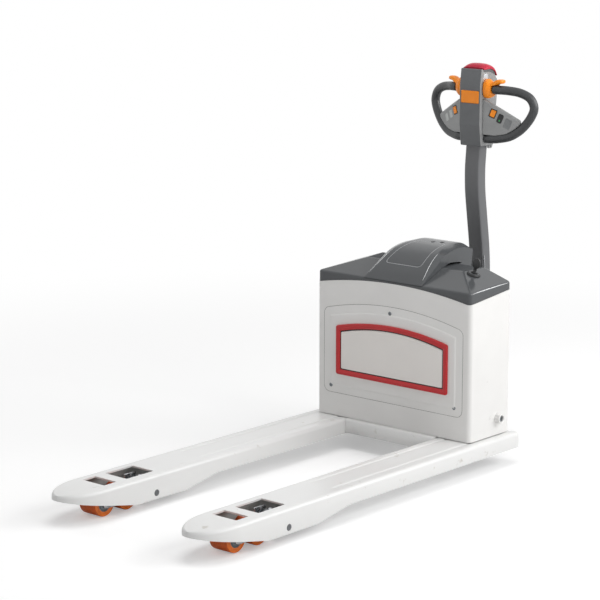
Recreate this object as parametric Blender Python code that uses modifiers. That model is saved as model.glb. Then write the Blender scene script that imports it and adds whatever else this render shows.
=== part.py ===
"""Compact electric pallet truck, modelled as the separate pieces it is assembled from.

Truck coordinates: X runs across the truck, with "right" at +X and "left" at -X, Y is measured
from the front face of the battery box, with the forks pointing to -Y and the tiller at +Y, and
Z is the height over the floor. All pieces hang on one datum empty, which puts the middle of the
truck's length at Y = 0. Sizes are in metres, the truck stands lowered with its tiller upright.
"""

import math

import bmesh
import bpy
from mathutils import Vector

# ---- Clearances -------------------------------------------------------------------------------
SEAT_GAP = 0.0003           # left between pieces that touch
RUNNING_GAP = 0.0005        # around controls that slide or rock in a pocket

# ---- Forks ------------------------------------------------------------------------------------
OVERALL_WIDTH = 0.685
FORK_WIDTH = 0.160
FORK_REACH = 1.220          # from the battery box to the fork tips
FORK_TOP = 0.100            # lowered height of the load surface
FORK_PLATE = 0.005
FORK_EDGE_RADIUS = 0.012
ROOT_BOTTOM = 0.050
SKID_BOTTOM = 0.0245
NOSE_BOTTOM = 0.076
NOSE_DROP = 0.007
NOSE_LENGTH = 0.140
NOSE_END_SHARE = 0.985      # the nose's ellipse stops here in a narrow blunt face
SKID_FRONT_FROM_TIP = 0.250
SKID_REAR_FROM_TIP = 0.463
ROOT_FROM_TIP = 0.600
BASE_OVERHANG = 0.0098      # how far the fork frame reaches behind the battery box
RIB_OFFSET = 0.043
RIB_HALF_WIDTH = 0.008
RIB_DEPTH = 0.0022
RIB_START_FROM_TIP = 0.565
RIB_RAMP = 0.020
WINDOW_WIDTH = 0.092
FRONT_WINDOW_FROM_TIP = (0.1495, 0.2006)
REAR_WINDOW_FROM_TIP = (0.242, 0.355)
CROSS_FRONT = -0.014        # front face of the member between the forks
CROSS_PLATE = 0.005
HEEL_STEP = 0.0005          # the forks lie this much lower under the battery box
HEEL_RAMP = 0.003

BOX_DEPTH = 0.2126
BASE_REAR = BOX_DEPTH + BASE_OVERHANG
FORK_CENTRE = OVERALL_WIDTH / 2 - FORK_WIDTH / 2
FORK_INNER = OVERALL_WIDTH / 2 - FORK_WIDTH
TIP_Y = -FORK_REACH

# ---- Load rollers and their arms --------------------------------------------------------------
ARM_PIN_FROM_TIP = 0.3335
ARM_PIN_Z = 0.0436
ARM_PIN_RADIUS = 0.010
ARM_LENGTH = 0.1235         # arm pin to bogie pin
ARM_HUB_RADIUS = 0.0165
ARM_PLATE = 0.006
ROLLER_RADIUS = 0.040
ROLLER_HALF_WIDTH = 0.035
ROLLER_CORE_RADIUS = 0.025
ROLLER_SPACING = 0.095
BOGIE_PLATE = 0.006
BOGIE_PIN_RADIUS = 0.006
AXLE_RADIUS = 0.006
SIDE_CLEARANCE = 0.0025     # between roller, bogie plate and arm plate
LUG_RADIUS = 0.032          # arm pin to push-rod pin
LIFT = 0.105

ARM_PIN_Y = TIP_Y + ARM_PIN_FROM_TIP
BOGIE_Z = ROLLER_RADIUS
BOGIE_Y = ARM_PIN_Y - math.sqrt(ARM_LENGTH ** 2 - (ARM_PIN_Z - BOGIE_Z) ** 2)
BOGIE_PLATE_INNER = ROLLER_HALF_WIDTH + SIDE_CLEARANCE
ARM_PLATE_INNER = BOGIE_PLATE_INNER + BOGIE_PLATE + SIDE_CLEARANCE
ARM_HALF_WIDTH = ARM_PLATE_INNER + ARM_PLATE
ARM_DROOP = math.asin((ARM_PIN_Z - BOGIE_Z) / ARM_LENGTH)
ARM_SWING = math.asin((LIFT + ARM_PIN_Z - BOGIE_Z) / ARM_LENGTH) - ARM_DROOP

# ---- Lift linkage -----------------------------------------------------------------------------
SHAFT_FROM_BACK = 0.0651    # shaft to the battery box's rear wall
SHAFT_Y = BOX_DEPTH - SHAFT_FROM_BACK
SHAFT_Z = 0.155
SHAFT_RADIUS = 0.016
SHAFT_END_RADIUS = 0.010
CRANK_RADIUS = 0.075        # rocker shaft to push-rod pin
LEVER_X = 0.125             # middle of the rocker levers
LEVER_THICKNESS = 0.010
LEVER_ROOT_RADIUS = 0.024
LEVER_TIP_RADIUS = 0.018
LEVER_PIN_RADIUS = 0.008
LEVER_PIN_PLAY = 0.0013
ROD_RADIUS = 0.008
ROD_PIN_RADIUS = 0.005
EYE_RADIUS = 0.010
EYE_THICKNESS = 0.010
EYE_PLAY = 0.0006
CLEVIS_PLATE = 0.005
CLEVIS_GAP = 0.0015
BUSH_RADIUS = 0.016
BUSH_STAND = 0.018          # how far the bush stands out of the battery box

ROD_STROKE = 2 * LUG_RADIUS * math.sin(ARM_SWING / 2)
CRANK_HALF_SWING = math.asin(ROD_STROKE / 2 / CRANK_RADIUS)
LEVER_REACH = LIFT / 2 / math.tan(CRANK_HALF_SWING)
LEVER_LONG = math.hypot(LEVER_REACH, LIFT / 2)

# ---- Battery box ------------------------------------------------------------------------------
BOX_LEDGE = 0.0302          # fork frame showing beside the battery box
BOX_HALF_WIDTH = OVERALL_WIDTH / 2 - BOX_LEDGE
BOX_WALL = 0.004
BOX_CORNER_RADIUS = 0.015
BOX_FRONT_CORNER_TOP = 0.541
BOX_FRONT_MIDDLE_TOP = 0.569
BOX_REAR_TOP = 0.563

PACK_MARGIN = 0.0233         # battery and pump unit to the box's side walls
PACK_GAP = 0.020
PACK_TOP = 0.330
PUMP_WIDTH = 0.160
PUMP_MOTOR_RADIUS = 0.040
TANK_TOP = 0.235
CONTROLLER_WIDTH = 0.180

PLATE_MARGIN = 0.0303
PLATE_HALF_WIDTH = BOX_HALF_WIDTH - PLATE_MARGIN
PLATE_BOTTOM = 0.178
PLATE_CORNER_TOP = 0.460
PLATE_MIDDLE_TOP = 0.493
PLATE_RADIUS = 0.022
PLATE_RECESS = 0.0022
PLATE_SEAM = 0.0012
PLATE_PROUD = 0.0005
PLATE_STEP_INSET = 0.025
PLATE_STEP_HEIGHT = 0.0025
PLATE_STEP_RAMP = 0.004

BADGE_MARGIN = 0.055
BADGE_HALF_WIDTH = PLATE_HALF_WIDTH - BADGE_MARGIN
BADGE_BOTTOM = 0.243
BADGE_CORNER_TOP = 0.406
BADGE_MIDDLE_TOP = 0.432
BADGE_RADIUS = 0.016
BADGE_BAR = 0.017
BADGE_THICKNESS = 0.006
BADGE_PANEL_GAP = 0.0035
BADGE_PANEL_THICKNESS = 0.003

# ---- Top cover and its handle -----------------------------------------------------------------
COVER_INSET = 0.003
COVER_WALL = 0.0035
COVER_FRONT_BAND = 0.576
COVER_REAR_BAND = 0.586
COVER_CREASE = (             # share of the depth, run in from the edge, rise over the front band
    (0.0, 0.0, 0.0), (0.538, 0.1152, 0.0425), (1.0, 0.1025, 0.0425))
HANDLE_RIM = 0.118          # half the handle's width at its foot
HANDLE_TAPER = 0.07         # how much of that is lost for each metre to the rear
HANDLE_SEAT = 0.0008
HANDLE_CREST = (            # y, half width and height over the front band of the top's edge
    (0.001, 0.1140, 0.0012), (0.030, 0.1080, 0.0270), (0.060, 0.1000, 0.0490),
    (0.090, 0.0945, 0.0690), (0.122, 0.0900, 0.0850), (0.164, 0.0800, 0.0965),
    (0.205, 0.0710, 0.1010), (0.240, 0.0670, 0.1025), (0.268, 0.0670, 0.0985),
    (0.283, 0.0680, 0.0925), (0.2925, 0.0690, 0.0780), (0.2890, 0.0690, 0.0450))
HANDLE_RIM_DROP = (0.0006, 0.0060, 0.0105, 0.0125, 0.0100, 0.0090, 0.0090, 0.0120, 0.0140, 0.0130,
                   0.0020, 0.0004)
LEG_REAR = 0.0704           # the rear leg's far and near side, behind the battery box
LEG_FRONT = 0.0154
LEG_BOTTOM = 0.585
HAND_GAP_FRONT = 0.121
HAND_GAP_RAMP = 0.042
HAND_GAP_FALL = 0.0095
HAND_GAP_TOP = 0.6285
HAND_RECESS_HALF_WIDTH = 0.060
HAND_RECESS_TOP = 0.652
KEY_X = 0.2245
KEY_Y = 0.128
KEY_BASE_RADIUS = 0.0215
KEY_BASE_HEIGHT = 0.007
KEY_SEAT_DEPTH = 0.0012

HAND_GAP_REAR = BOX_DEPTH + LEG_FRONT

# ---- Drive unit -------------------------------------------------------------------------------
CYLINDER_FROM_BOX = 0.0424
STEER_FROM_CYLINDER = 0.145
CYLINDER_Y = BOX_DEPTH + CYLINDER_FROM_BOX
STEER_Y = CYLINDER_Y + STEER_FROM_CYLINDER
DRIVE_WHEEL_RADIUS = 0.105
DRIVE_WHEEL_HALF_WIDTH = 0.035
DRIVE_RIM_RADIUS = 0.082
DRIVE_SHAFT_RADIUS = 0.012
DRIVE_WHEEL_CLEARANCE = 0.006
FLANGE_RADIUS = 0.075
FLANGE_THICKNESS = 0.016
NECK_RADIUS = 0.0615
RING_RADIUS = 0.080
RING_MARGIN = 0.032         # bearing plate showing round the slewing ring
BEARING_PLATE = 0.012
GEARBOX_HALF_DEPTH = 0.055
GEARBOX_WIDTH = 0.034
MOTOR_RADIUS = 0.050
MOTOR_HEIGHT = 0.150
TURRET_RADIUS = 0.098
TURRET_WALL = 0.006
TURRET_TOP = 0.475
CHASSIS_FRONT = BASE_REAR + 0.0036
CHASSIS_HALF_WIDTH = 0.110
CHASSIS_EAR_HALF_WIDTH = 0.142
CHASSIS_EAR_PLATE = 0.006
POST_X = 0.075
POST_RADIUS = 0.0125
POST_TOP = 0.565
CYLINDER_RADIUS = 0.0225
CYLINDER_HEIGHT = 0.178
RAM_RADIUS = 0.011
BRACKET_Z = 0.440
BRACKET_PLATE = 0.012
SLEEVE_RADIUS = 0.020
SLEEVE_HALF_HEIGHT = 0.028

FLANGE_BOTTOM = 2 * DRIVE_WHEEL_RADIUS + DRIVE_WHEEL_CLEARANCE
PLATE_LEVEL = FLANGE_BOTTOM + FLANGE_THICKNESS + 0.003
PLATE_TOP = PLATE_LEVEL + BEARING_PLATE
NECK_TOP = PLATE_TOP + 0.005
REAR_REACH = STEER_Y + DRIVE_WHEEL_RADIUS
LEVER_PIN_Y = SHAFT_Y + LEVER_REACH
LEVER_PIN_Z = SHAFT_Z + LIFT / 2

# ---- Tiller -----------------------------------------------------------------------------------
TILLER_BEHIND_STEER = 0.065
TILLER_Y = STEER_Y + TILLER_BEHIND_STEER
TILLER_Z = 0.525
TILLER_PIN_RADIUS = 0.008
TILLER_BOSS_RADIUS = 0.0185
ARM_TUBE_HALF_WIDTH = 0.0285
ARM_TUBE_DEPTH = 0.043
ARM_BENDS = (               # share of the height, how far forward of the pivot
    (0.0, 0.0), (0.101, 0.0005), (0.259, 0.0065), (0.479, 0.0210), (0.663, 0.0325),
    (0.821, 0.0350), (0.951, 0.0305))
ARM_TOP_FORWARD = 0.0285
EAR_INNER = 0.0425
EAR_THICKNESS = 0.007
SPRING_RADIUS = 0.0125
SPRING_WIRE = 0.0018
SPRING_TURNS = 2

HEAD_BOTTOM = 0.9697
HEAD_HALF_WIDTH = 0.0425
HEAD_FRONT = TILLER_Y - 0.0675
HEAD_HEIGHT = 0.2448
HEAD_DEPTH = 0.0915
HEAD_OUTLINE = (            # shares of the head's depth and height
    (0.066, 0.0), (0.705, 0.0), (0.792, 0.165), (0.923, 0.451), (1.0, 0.737), (1.0, 0.884),
    (0.858, 0.955), (0.552, 0.998), (0.153, 1.0), (0.082, 0.920), (0.0, 0.798), (0.0, 0.287))
BELLY_HALF_WIDTH = 0.0385
BELLY_TRAVEL = 0.006
BELLY_FRONT = HEAD_FRONT + 0.0175
BELLY_UNDERSIDE = HEAD_BOTTOM + HEAD_HEIGHT - 0.004
BELLY_BOTTOM = ((0.0, 0.0), (0.0320, -0.0005), (0.0560, -0.0110), (0.0650, -0.0265))
BELLY_TOP = ((0.0715, -0.0220), (0.0685, 0.0), (0.0585, 0.0155), (0.0425, 0.0250), (0.0220, 0.0280),
             (0.0060, 0.0245), (0.0, 0.0160))
HORN_WIDTH = 0.072
HORN_HEIGHT = 0.041
HORN_Z = 1.131
HORN_TRAVEL = 0.003
HORN_PROUD = 0.0035
HORN_THICKNESS = 0.009

GRIP_RADIUS = 0.0146
GRIP_SLANT = 0.35           # how much the loops lean back for each metre sideways
GRIP_PLANE_Y = TILLER_Y - 0.0615        # where the loops' plane meets the middle of the truck
THROTTLE_Y = TILLER_Y - 0.040
THROTTLE_Z = 1.157
SPIGOT_RADIUS = 0.007
THROTTLE_INNER = HEAD_HALF_WIDTH + 0.0012
THROTTLE_OUTER = THROTTLE_INNER + 0.026
THROTTLE_LOBE_DEPTH = 0.022
THROTTLE_LOBE_HEIGHT = 0.029
THUMB_TAB_REACH = 0.107
THUMB_TAB_THICKNESS = 0.011
WING_FRONT_Y = TILLER_Y - 0.073
WING_THICKNESS = 0.016
SWITCH_X = 0.0765
SWITCH_Z = 1.0806
SWITCH_WIDTH = 0.0165
SWITCH_HEIGHT = 0.0225
SWITCH_THICKNESS = 0.007
SWITCH_PROUD = 0.0025
SWITCH_TILT = math.radians(15)
SWITCH_DEPTH_PLAY = 0.0018  # room behind the rocker for its six degrees of tilt

WING_TURN = math.atan(GRIP_SLANT)
GRIP_LINE = (               # x and z of the loop's middle line, from the throttle down to the head
    (0.118, 1.155), (0.156, 1.149), (0.187, 1.1325), (0.2000, 1.103), (0.1915, 1.073),
    (0.1712, 1.0425), (0.1495, 1.0215), (0.1215, 1.0050), (0.085, 0.9970), (0.0640, 0.9955))

# ---- Directions: how a flat outline or a turned axis is set into the truck ---------------------
UPRIGHT = (0.0, 0.0, 0.0)                               # outline in plan, axis along Z
FACING = (math.radians(90), 0.0, 0.0)                   # outline in X and Z, thickness along Y
SIDEWAYS = (math.radians(90), 0.0, math.radians(90))    # outline in Y and Z, thickness along X
ACROSS = (0.0, math.radians(90), 0.0)                   # axis along X

SIDES = {"left": -1, "right": 1}
SMOOTH_ANGLE = math.radians(38)


# ---- Scene, materials and placing --------------------------------------------------------------
def clear_scene():
    for old in list(bpy.data.objects):
        bpy.data.objects.remove(old, do_unlink=True)


def new_collection(name):
    collection = bpy.data.collections.new(name)
    bpy.context.scene.collection.children.link(collection)
    return collection


clear_scene()
PARTS = new_collection("pallet_jack")
CUTTERS = new_collection("cutters")


def paint(name, colour, roughness, metallic=0.0):
    """A Principled material of one colour."""
    material = bpy.data.materials.new(name)
    material.use_nodes = True
    shader = material.node_tree.nodes["Principled BSDF"]
    shader.inputs["Base Color"].default_value = (*colour, 1.0)
    shader.inputs["Roughness"].default_value = roughness
    shader.inputs["Metallic"].default_value = metallic
    return material


WHITE_PAINT = ("white_paint", (0.82, 0.82, 0.82), 0.35, 0.0)
GREY_COVER = ("grey_cover", (0.125, 0.13, 0.135), 0.22, 0.0)
DARK_STEEL = ("dark_steel", (0.06, 0.062, 0.065), 0.45, 0.2)
BRIGHT_STEEL = ("bright_steel", (0.55, 0.56, 0.57), 0.28, 1.0)
HUB_STEEL = ("hub_steel", (0.20, 0.22, 0.23), 0.4, 0.8)
ROLLER_ORANGE = ("roller_orange", (0.62, 0.11, 0.012), 0.4, 0.0)
CONTROL_ORANGE = ("control_orange", (0.90, 0.25, 0.01), 0.35, 0.0)
BADGE_RED = ("badge_red", (0.50, 0.018, 0.02), 0.3, 0.0)
PANEL_GREY = ("panel_grey", (0.52, 0.53, 0.53), 0.4, 0.0)
BELLY_RED = ("belly_red", (0.55, 0.012, 0.05), 0.35, 0.0)
HEAD_GREY = ("head_grey", (0.115, 0.12, 0.125), 0.5, 0.0)
WING_GREY = ("wing_grey", (0.23, 0.235, 0.235), 0.45, 0.0)
GRIP_BLACK = ("grip_black", (0.038, 0.04, 0.042), 0.7, 0.0)
ARM_GREY = ("arm_grey", (0.065, 0.068, 0.072), 0.4, 0.1)
KEY_BLACK = ("key_black", (0.012, 0.013, 0.013), 0.45, 0.0)
BATTERY_BLACK = ("battery_black", (0.02, 0.02, 0.022), 0.6, 0.0)
MOTOR_GREY = ("motor_grey", (0.1, 0.1, 0.105), 0.5, 0.4)
TYRE_BLACK = ("tyre_black", (0.03, 0.03, 0.03), 0.8, 0.0)


def finish(recipe):
    """The material of that recipe, made once."""
    return bpy.data.materials.get(recipe[0]) or paint(*recipe)


def empty_at(name, at, parent=None):
    """An empty at a place given in truck coordinates."""
    empty = bpy.data.objects.new(name, None)
    PARTS.objects.link(empty)
    empty.empty_display_size = 0.03
    empty.parent = parent
    empty["truck_place"] = at
    empty.location = Vector(at) - Vector(parent["truck_place"] if parent else (0.0, 0.0, 0.0))
    return empty


DATUM = bpy.data.objects.new("truck_datum", None)
PARTS.objects.link(DATUM)
DATUM["truck_place"] = (0.0, 0.0, 0.0)
DATUM.location = (0.0, (FORK_REACH - REAR_REACH) / 2, 0.0)


def carry(piece, empty):
    """Hang a piece on a joint's empty without moving it."""
    piece.location = piece.location - Vector(empty["truck_place"])
    piece.parent = empty
    return piece


def place(name, mesh, recipe, at, turn):
    """Make the object of a mesh. With no recipe it is a cutter."""
    item = bpy.data.objects.new(name, mesh)
    if recipe is None:
        CUTTERS.objects.link(item)
        item.hide_render = True
        item.display_type = "WIRE"
    else:
        PARTS.objects.link(item)
        mesh.materials.clear()
        mesh.materials.append(finish(recipe))
        mesh.shade_smooth()
        mesh.set_sharp_from_angle(angle=SMOOTH_ANGLE)
    item.parent = DATUM
    item.location = at
    item.rotation_euler = turn
    return item


def mesh_of(shape, name):
    mesh = bpy.data.meshes.new(name)
    shape.to_mesh(mesh)
    shape.free()
    return mesh


# ---- Basic shapes ------------------------------------------------------------------------------
def block(name, size, at, recipe=None, turn=UPRIGHT):
    shape = bmesh.new()
    bmesh.ops.create_cube(shape, size=1.0)
    bmesh.ops.scale(shape, vec=size, verts=shape.verts)
    return place(name, mesh_of(shape, name), recipe, at, turn)


def span_block(name, low, high, recipe=None):
    """A block between two corners."""
    low, high = Vector(low), Vector(high)
    return block(name, high - low, (low + high) / 2, recipe)


def rod(name, radius, length, at, recipe=None, turn=UPRIGHT, sides=16):
    shape = bmesh.new()
    bmesh.ops.create_cone(shape, cap_ends=True, segments=sides, radius1=radius, radius2=radius,
                          depth=length)
    return place(name, mesh_of(shape, name), recipe, at, turn)


def flat(name, outlines, thickness, at, recipe=None, turn=UPRIGHT):
    """A plate from closed outlines, the first one outside and any others its holes."""
    curve = bpy.data.curves.new(name, "CURVE")
    curve.dimensions = "2D"
    curve.fill_mode = "BOTH"
    curve.extrude = thickness / 2
    for outline in outlines:
        spline = curve.splines.new("POLY")
        spline.points.add(len(outline) - 1)
        for point, (across, up) in zip(spline.points, outline):
            point.co = (across, up, 0.0, 1.0)
        spline.use_cyclic_u = True
    return place(name, mesh_from_curve(curve, name), recipe, at, turn)


def tube(name, path, radius, recipe=None, sides_resolution=2):
    """A round bar with filled ends along a path in truck coordinates."""
    curve = bpy.data.curves.new(name, "CURVE")
    curve.dimensions = "3D"
    curve.bevel_depth = radius
    curve.bevel_resolution = sides_resolution
    curve.use_fill_caps = True
    spline = curve.splines.new("POLY")
    spline.points.add(len(path) - 1)
    for point, place_on_path in zip(spline.points, path):
        point.co = (*place_on_path, 1.0)
    return place(name, mesh_from_curve(curve, name), recipe, (0.0, 0.0, 0.0), UPRIGHT)


def mesh_from_curve(curve, name):
    """The curve's mesh, with its caps welded on and its flat faces whole."""
    holder = bpy.data.objects.new(name + "_curve", curve)
    CUTTERS.objects.link(holder)
    bpy.context.view_layer.update()
    graph = bpy.context.evaluated_depsgraph_get()
    mesh = bpy.data.meshes.new_from_object(holder.evaluated_get(graph))
    bpy.data.objects.remove(holder, do_unlink=True)
    shape = bmesh.new()
    shape.from_mesh(mesh)
    bmesh.ops.remove_doubles(shape, verts=shape.verts, dist=0.00001)
    bmesh.ops.recalc_face_normals(shape, faces=shape.faces)
    bmesh.ops.dissolve_limit(shape, angle_limit=math.radians(0.5), verts=shape.verts,
                             edges=shape.edges)
    shape.to_mesh(mesh)
    shape.free()
    mesh.name = name
    return mesh


def turned(name, profile, at, recipe=None, turn=UPRIGHT, steps=24, closed=False):
    """A turned shape. The profile runs down its outer side as (radius, height) points."""
    count = len(profile)
    edges = [(index, index + 1) for index in range(count - 1)]
    if closed:
        edges.append((count - 1, 0))
    mesh = bpy.data.meshes.new(name)
    mesh.from_pydata([(radius, 0.0, height) for radius, height in profile], edges, [])
    item = place(name, mesh, recipe, at, turn)
    screw = item.modifiers.new("Turn", "SCREW")
    screw.axis = "Z"
    screw.angle = math.tau
    screw.steps = steps
    screw.render_steps = steps
    screw.use_merge_vertices = True
    screw.merge_threshold = 0.00001
    screw.use_smooth_shade = True
    return item


def loft(name, rings, recipe=None, at=(0.0, 0.0, 0.0)):
    """A closed solid through rings that all have the same number of points."""
    shape = bmesh.new()
    rows = [[shape.verts.new(point) for point in ring] for ring in rings]
    count = len(rows[0])
    for lower, upper in zip(rows, rows[1:]):
        for index in range(count):
            following = (index + 1) % count
            shape.faces.new((lower[index], lower[following], upper[following], upper[index]))
    shape.faces.new(reversed(rows[0]))
    shape.faces.new(rows[-1])
    bmesh.ops.recalc_face_normals(shape, faces=shape.faces)
    return place(name, mesh_of(shape, name), recipe, at, UPRIGHT)


def sheet(name, rows, thickness, recipe, close_first=False, close_last=False):
    """A folded plate: rows of points skinned outwards, with its wall added on the inside."""
    shape = bmesh.new()
    lines = [[shape.verts.new(point) for point in row] for row in rows]
    for lower, upper in zip(lines, lines[1:]):
        for index in range(len(lower) - 1):
            shape.faces.new((lower[index], lower[index + 1], upper[index + 1], upper[index]))
    if close_first:
        shape.faces.new(reversed(lines[0]))
    if close_last:
        shape.faces.new(lines[-1])
    shape.normal_update()
    item = place(name, mesh_of(shape, name), recipe, (0.0, 0.0, 0.0), UPRIGHT)
    wall = item.modifiers.new("Wall", "SOLIDIFY")
    wall.thickness = thickness
    wall.offset = -1.0
    wall.use_even_offset = True
    return item


# ---- Working on shapes -------------------------------------------------------------------------
def boolean(piece, tool, operation):
    modifier = piece.modifiers.new(tool.name, "BOOLEAN")
    modifier.operation = operation
    modifier.solver = "EXACT"
    modifier.object = tool
    return piece


def cut(piece, *tools):
    for tool in tools:
        boolean(piece, tool, "DIFFERENCE")
    return piece


def fuse(piece, *tools):
    for tool in tools:
        boolean(piece, tool, "UNION")
    return piece


def round_edges(piece, width, segments=2, angle=30.0):
    bevel = piece.modifiers.new("Round", "BEVEL")
    bevel.width = width
    bevel.segments = segments
    bevel.limit_method = "ANGLE"
    bevel.angle_limit = math.radians(angle)
    return piece


# ---- Outlines ----------------------------------------------------------------------------------
def interpolate(points, value):
    """Straight-line value between the points of a rising list."""
    for (start, first), (end, second) in zip(points, points[1:]):
        if value <= end:
            share = (value - start) / (end - start)
            return first + (second - first) * max(0.0, share)
    return points[-1][1]


def arc(centre, radius, start, end, steps):
    """Points on an arc, its angles in degrees."""
    points = []
    for step in range(steps + 1):
        angle = math.radians(start + (end - start) * step / steps)
        points.append((centre[0] + radius * math.cos(angle), centre[1] + radius * math.sin(angle)))
    return points


def circle(centre, radius, sides=16):
    return arc(centre, radius, 0.0, 360.0, sides)[:-1]


def oval(centre, half_width, half_height, sides=24):
    return [(centre[0] + half_width * math.cos(math.tau * step / sides),
             centre[1] + half_height * math.sin(math.tau * step / sides))
            for step in range(sides)]


def capsule(first, first_radius, second, second_radius, steps=4):
    """Outline of a link: two round ends joined by straight flanks."""
    heading = math.degrees(math.atan2(second[1] - first[1], second[0] - first[0]))
    span = math.hypot(second[0] - first[0], second[1] - first[1])
    lean = math.degrees(math.asin((first_radius - second_radius) / span))
    near = arc(first, first_radius, heading + 90 - lean, heading + 270 + lean, steps)
    far = arc(second, second_radius, heading - 90 + lean, heading + 90 - lean, steps)
    return near + far


def rounded_rectangle(half_width, half_height, radius, steps=2):
    inner_x, inner_y = half_width - radius, half_height - radius
    corners = ((inner_x, -inner_y, -90), (inner_x, inner_y, 0), (-inner_x, inner_y, 90),
               (-inner_x, -inner_y, 180))
    points = []
    for x, y, start in corners:
        points += arc((x, y), radius, start, start + 90, steps)
    return points


def arched_outline(half_width, bottom, corner_top, middle_top, radius, inset=0.0):
    """A rounded rectangle whose top edge bows up, drawn inset or, below zero, enlarged."""
    half = half_width - inset
    low, side_top, middle = bottom + inset, corner_top - inset, middle_top - inset
    turn = max(radius - inset, 0.004)
    points = arc((half - turn, low + turn), turn, -90, 0, 4)
    points += arc((half - turn, side_top - turn), turn, 0, 75, 4)
    arch_start = points[-1]
    for step in (0.66, 0.33, 0.0, -0.33, -0.66):
        rise = (middle - arch_start[1]) * (1 - step * step)
        points.append((arch_start[0] * step, arch_start[1] + rise))
    points += [(-x, z) for x, z in reversed(arc((half - turn, side_top - turn), turn, 0, 75, 4))]
    points += [(-x, z) for x, z in reversed(arc((half - turn, low + turn), turn, -90, 0, 4))]
    return points


def smooth_path(points, steps):
    """Points along a smooth curve through the given ones."""
    knots = [2 * Vector(points[0]) - Vector(points[1])] + [Vector(point) for point in points]
    knots.append(2 * knots[-1] - knots[-2])
    path = []
    for index in range(1, len(knots) - 2):
        before, start, end, after = knots[index - 1:index + 3]
        for step in range(steps):
            share = step / steps
            path.append(0.5 * (2 * start + (end - before) * share
                               + (2 * before - 5 * start + 4 * end - after) * share ** 2
                               + (3 * start - before - 3 * end + after) * share ** 3))
    path.append(knots[-2])
    return path


# ---- Fork frame --------------------------------------------------------------------------------
def fork_half_width(y):
    into_nose = max(0.0, TIP_Y + NOSE_LENGTH - y) / NOSE_LENGTH
    return FORK_WIDTH / 2 * math.sqrt(max(0.0, 1.0 - into_nose ** 2))


def fork_bottom(y):
    return interpolate(((TIP_Y, NOSE_BOTTOM), (TIP_Y + SKID_FRONT_FROM_TIP, SKID_BOTTOM),
                        (TIP_Y + SKID_REAR_FROM_TIP, SKID_BOTTOM),
                        (TIP_Y + ROOT_FROM_TIP, ROOT_BOTTOM), (BASE_REAR, ROOT_BOTTOM)), y)


def fork_top(y):
    into_nose = max(0.0, TIP_Y + NOSE_LENGTH - y) / NOSE_LENGTH
    heel = interpolate(((CROSS_FRONT - HEEL_RAMP, 0.0), (CROSS_FRONT, HEEL_STEP)), y)
    return FORK_TOP - NOSE_DROP * into_nose ** 2 - heel


def fork_section(y, centre):
    """The folded channel at y, from its left lower edge over the top to its right lower edge."""
    half, bottom, top = fork_half_width(y), fork_bottom(y), fork_top(y)
    start = TIP_Y + RIB_START_FROM_TIP
    depth = interpolate(((start, 0.0), (start + RIB_RAMP, RIB_DEPTH)), max(y, start))
    inner = half - FORK_EDGE_RADIUS
    share = half / (FORK_WIDTH / 2)
    left = arc((-inner, top - FORK_EDGE_RADIUS), FORK_EDGE_RADIUS, 180, 90, 3)
    grooves = []
    for middle in (-RIB_OFFSET, RIB_OFFSET):
        for offset, drop in ((-1.0, 0.0), (-0.5, depth), (0.5, depth), (1.0, 0.0)):
            grooves.append(((middle + offset * RIB_HALF_WIDTH) * share, top - drop))
    if inner < 0.02:
        grooves = [(inner * (2 * index / 9 - 7 / 9), top) for index in range(8)]
    outline = [(-half, bottom)] + left + grooves + [(-x, z) for x, z in reversed(left)]
    outline.append((half, bottom))
    return [(centre + x, y, z) for x, z in outline]


def fork(name, side):
    centre = side * FORK_CENTRE
    shares = (NOSE_END_SHARE, 0.93, 0.82, 0.66, 0.45, 0.22)
    nose = [TIP_Y + NOSE_LENGTH * (1 - share) for share in shares]
    rib_start = TIP_Y + RIB_START_FROM_TIP
    stations = nose + [TIP_Y + NOSE_LENGTH, TIP_Y + SKID_FRONT_FROM_TIP,
                       TIP_Y + SKID_REAR_FROM_TIP, rib_start, rib_start + RIB_RAMP,
                       TIP_Y + ROOT_FROM_TIP, CROSS_FRONT - HEEL_RAMP, CROSS_FRONT, BASE_REAR]
    rows = [fork_section(y, centre) for y in stations]
    piece = sheet(name, rows, FORK_PLATE, WHITE_PAINT, close_first=True, close_last=True)
    for label, (near, far) in (("front", FRONT_WINDOW_FROM_TIP), ("rear", REAR_WINDOW_FROM_TIP)):
        window = span_block(f"{name}_{label}_window",
                            (centre - WINDOW_WIDTH / 2, TIP_Y + near, FORK_TOP - 0.02),
                            (centre + WINDOW_WIDTH / 2, TIP_Y + far, FORK_TOP + 0.02))
        cut(piece, window)
    pin_hole = rod(name + "_pin_hole", ARM_PIN_RADIUS + SEAT_GAP, FORK_WIDTH + 0.02,
                   (centre, ARM_PIN_Y, ARM_PIN_Z), turn=ACROSS)
    crank_slot = span_block(name + "_crank_slot",
                            (centre - 0.022, SHAFT_Y - 0.040, FORK_TOP - 0.02),
                            (centre + 0.022, SHAFT_Y + 0.034, FORK_TOP + 0.02))
    return cut(piece, pin_hole, crank_slot)


def cross_member():
    """The folded tray that ties both forks together and carries the battery."""
    half = FORK_INNER - SEAT_GAP
    low = ROOT_BOTTOM + 0.0035
    rows = []
    for x in (half, -half):
        rows.append([(x, CROSS_FRONT, low), (x, CROSS_FRONT, FORK_TOP - 0.004),
                     (x, CROSS_FRONT + 0.004, FORK_TOP), (x, BASE_REAR - 0.004, FORK_TOP),
                     (x, BASE_REAR, FORK_TOP - 0.004), (x, BASE_REAR, low)])
    return sheet("cross_member", rows, CROSS_PLATE, WHITE_PAINT)


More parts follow.
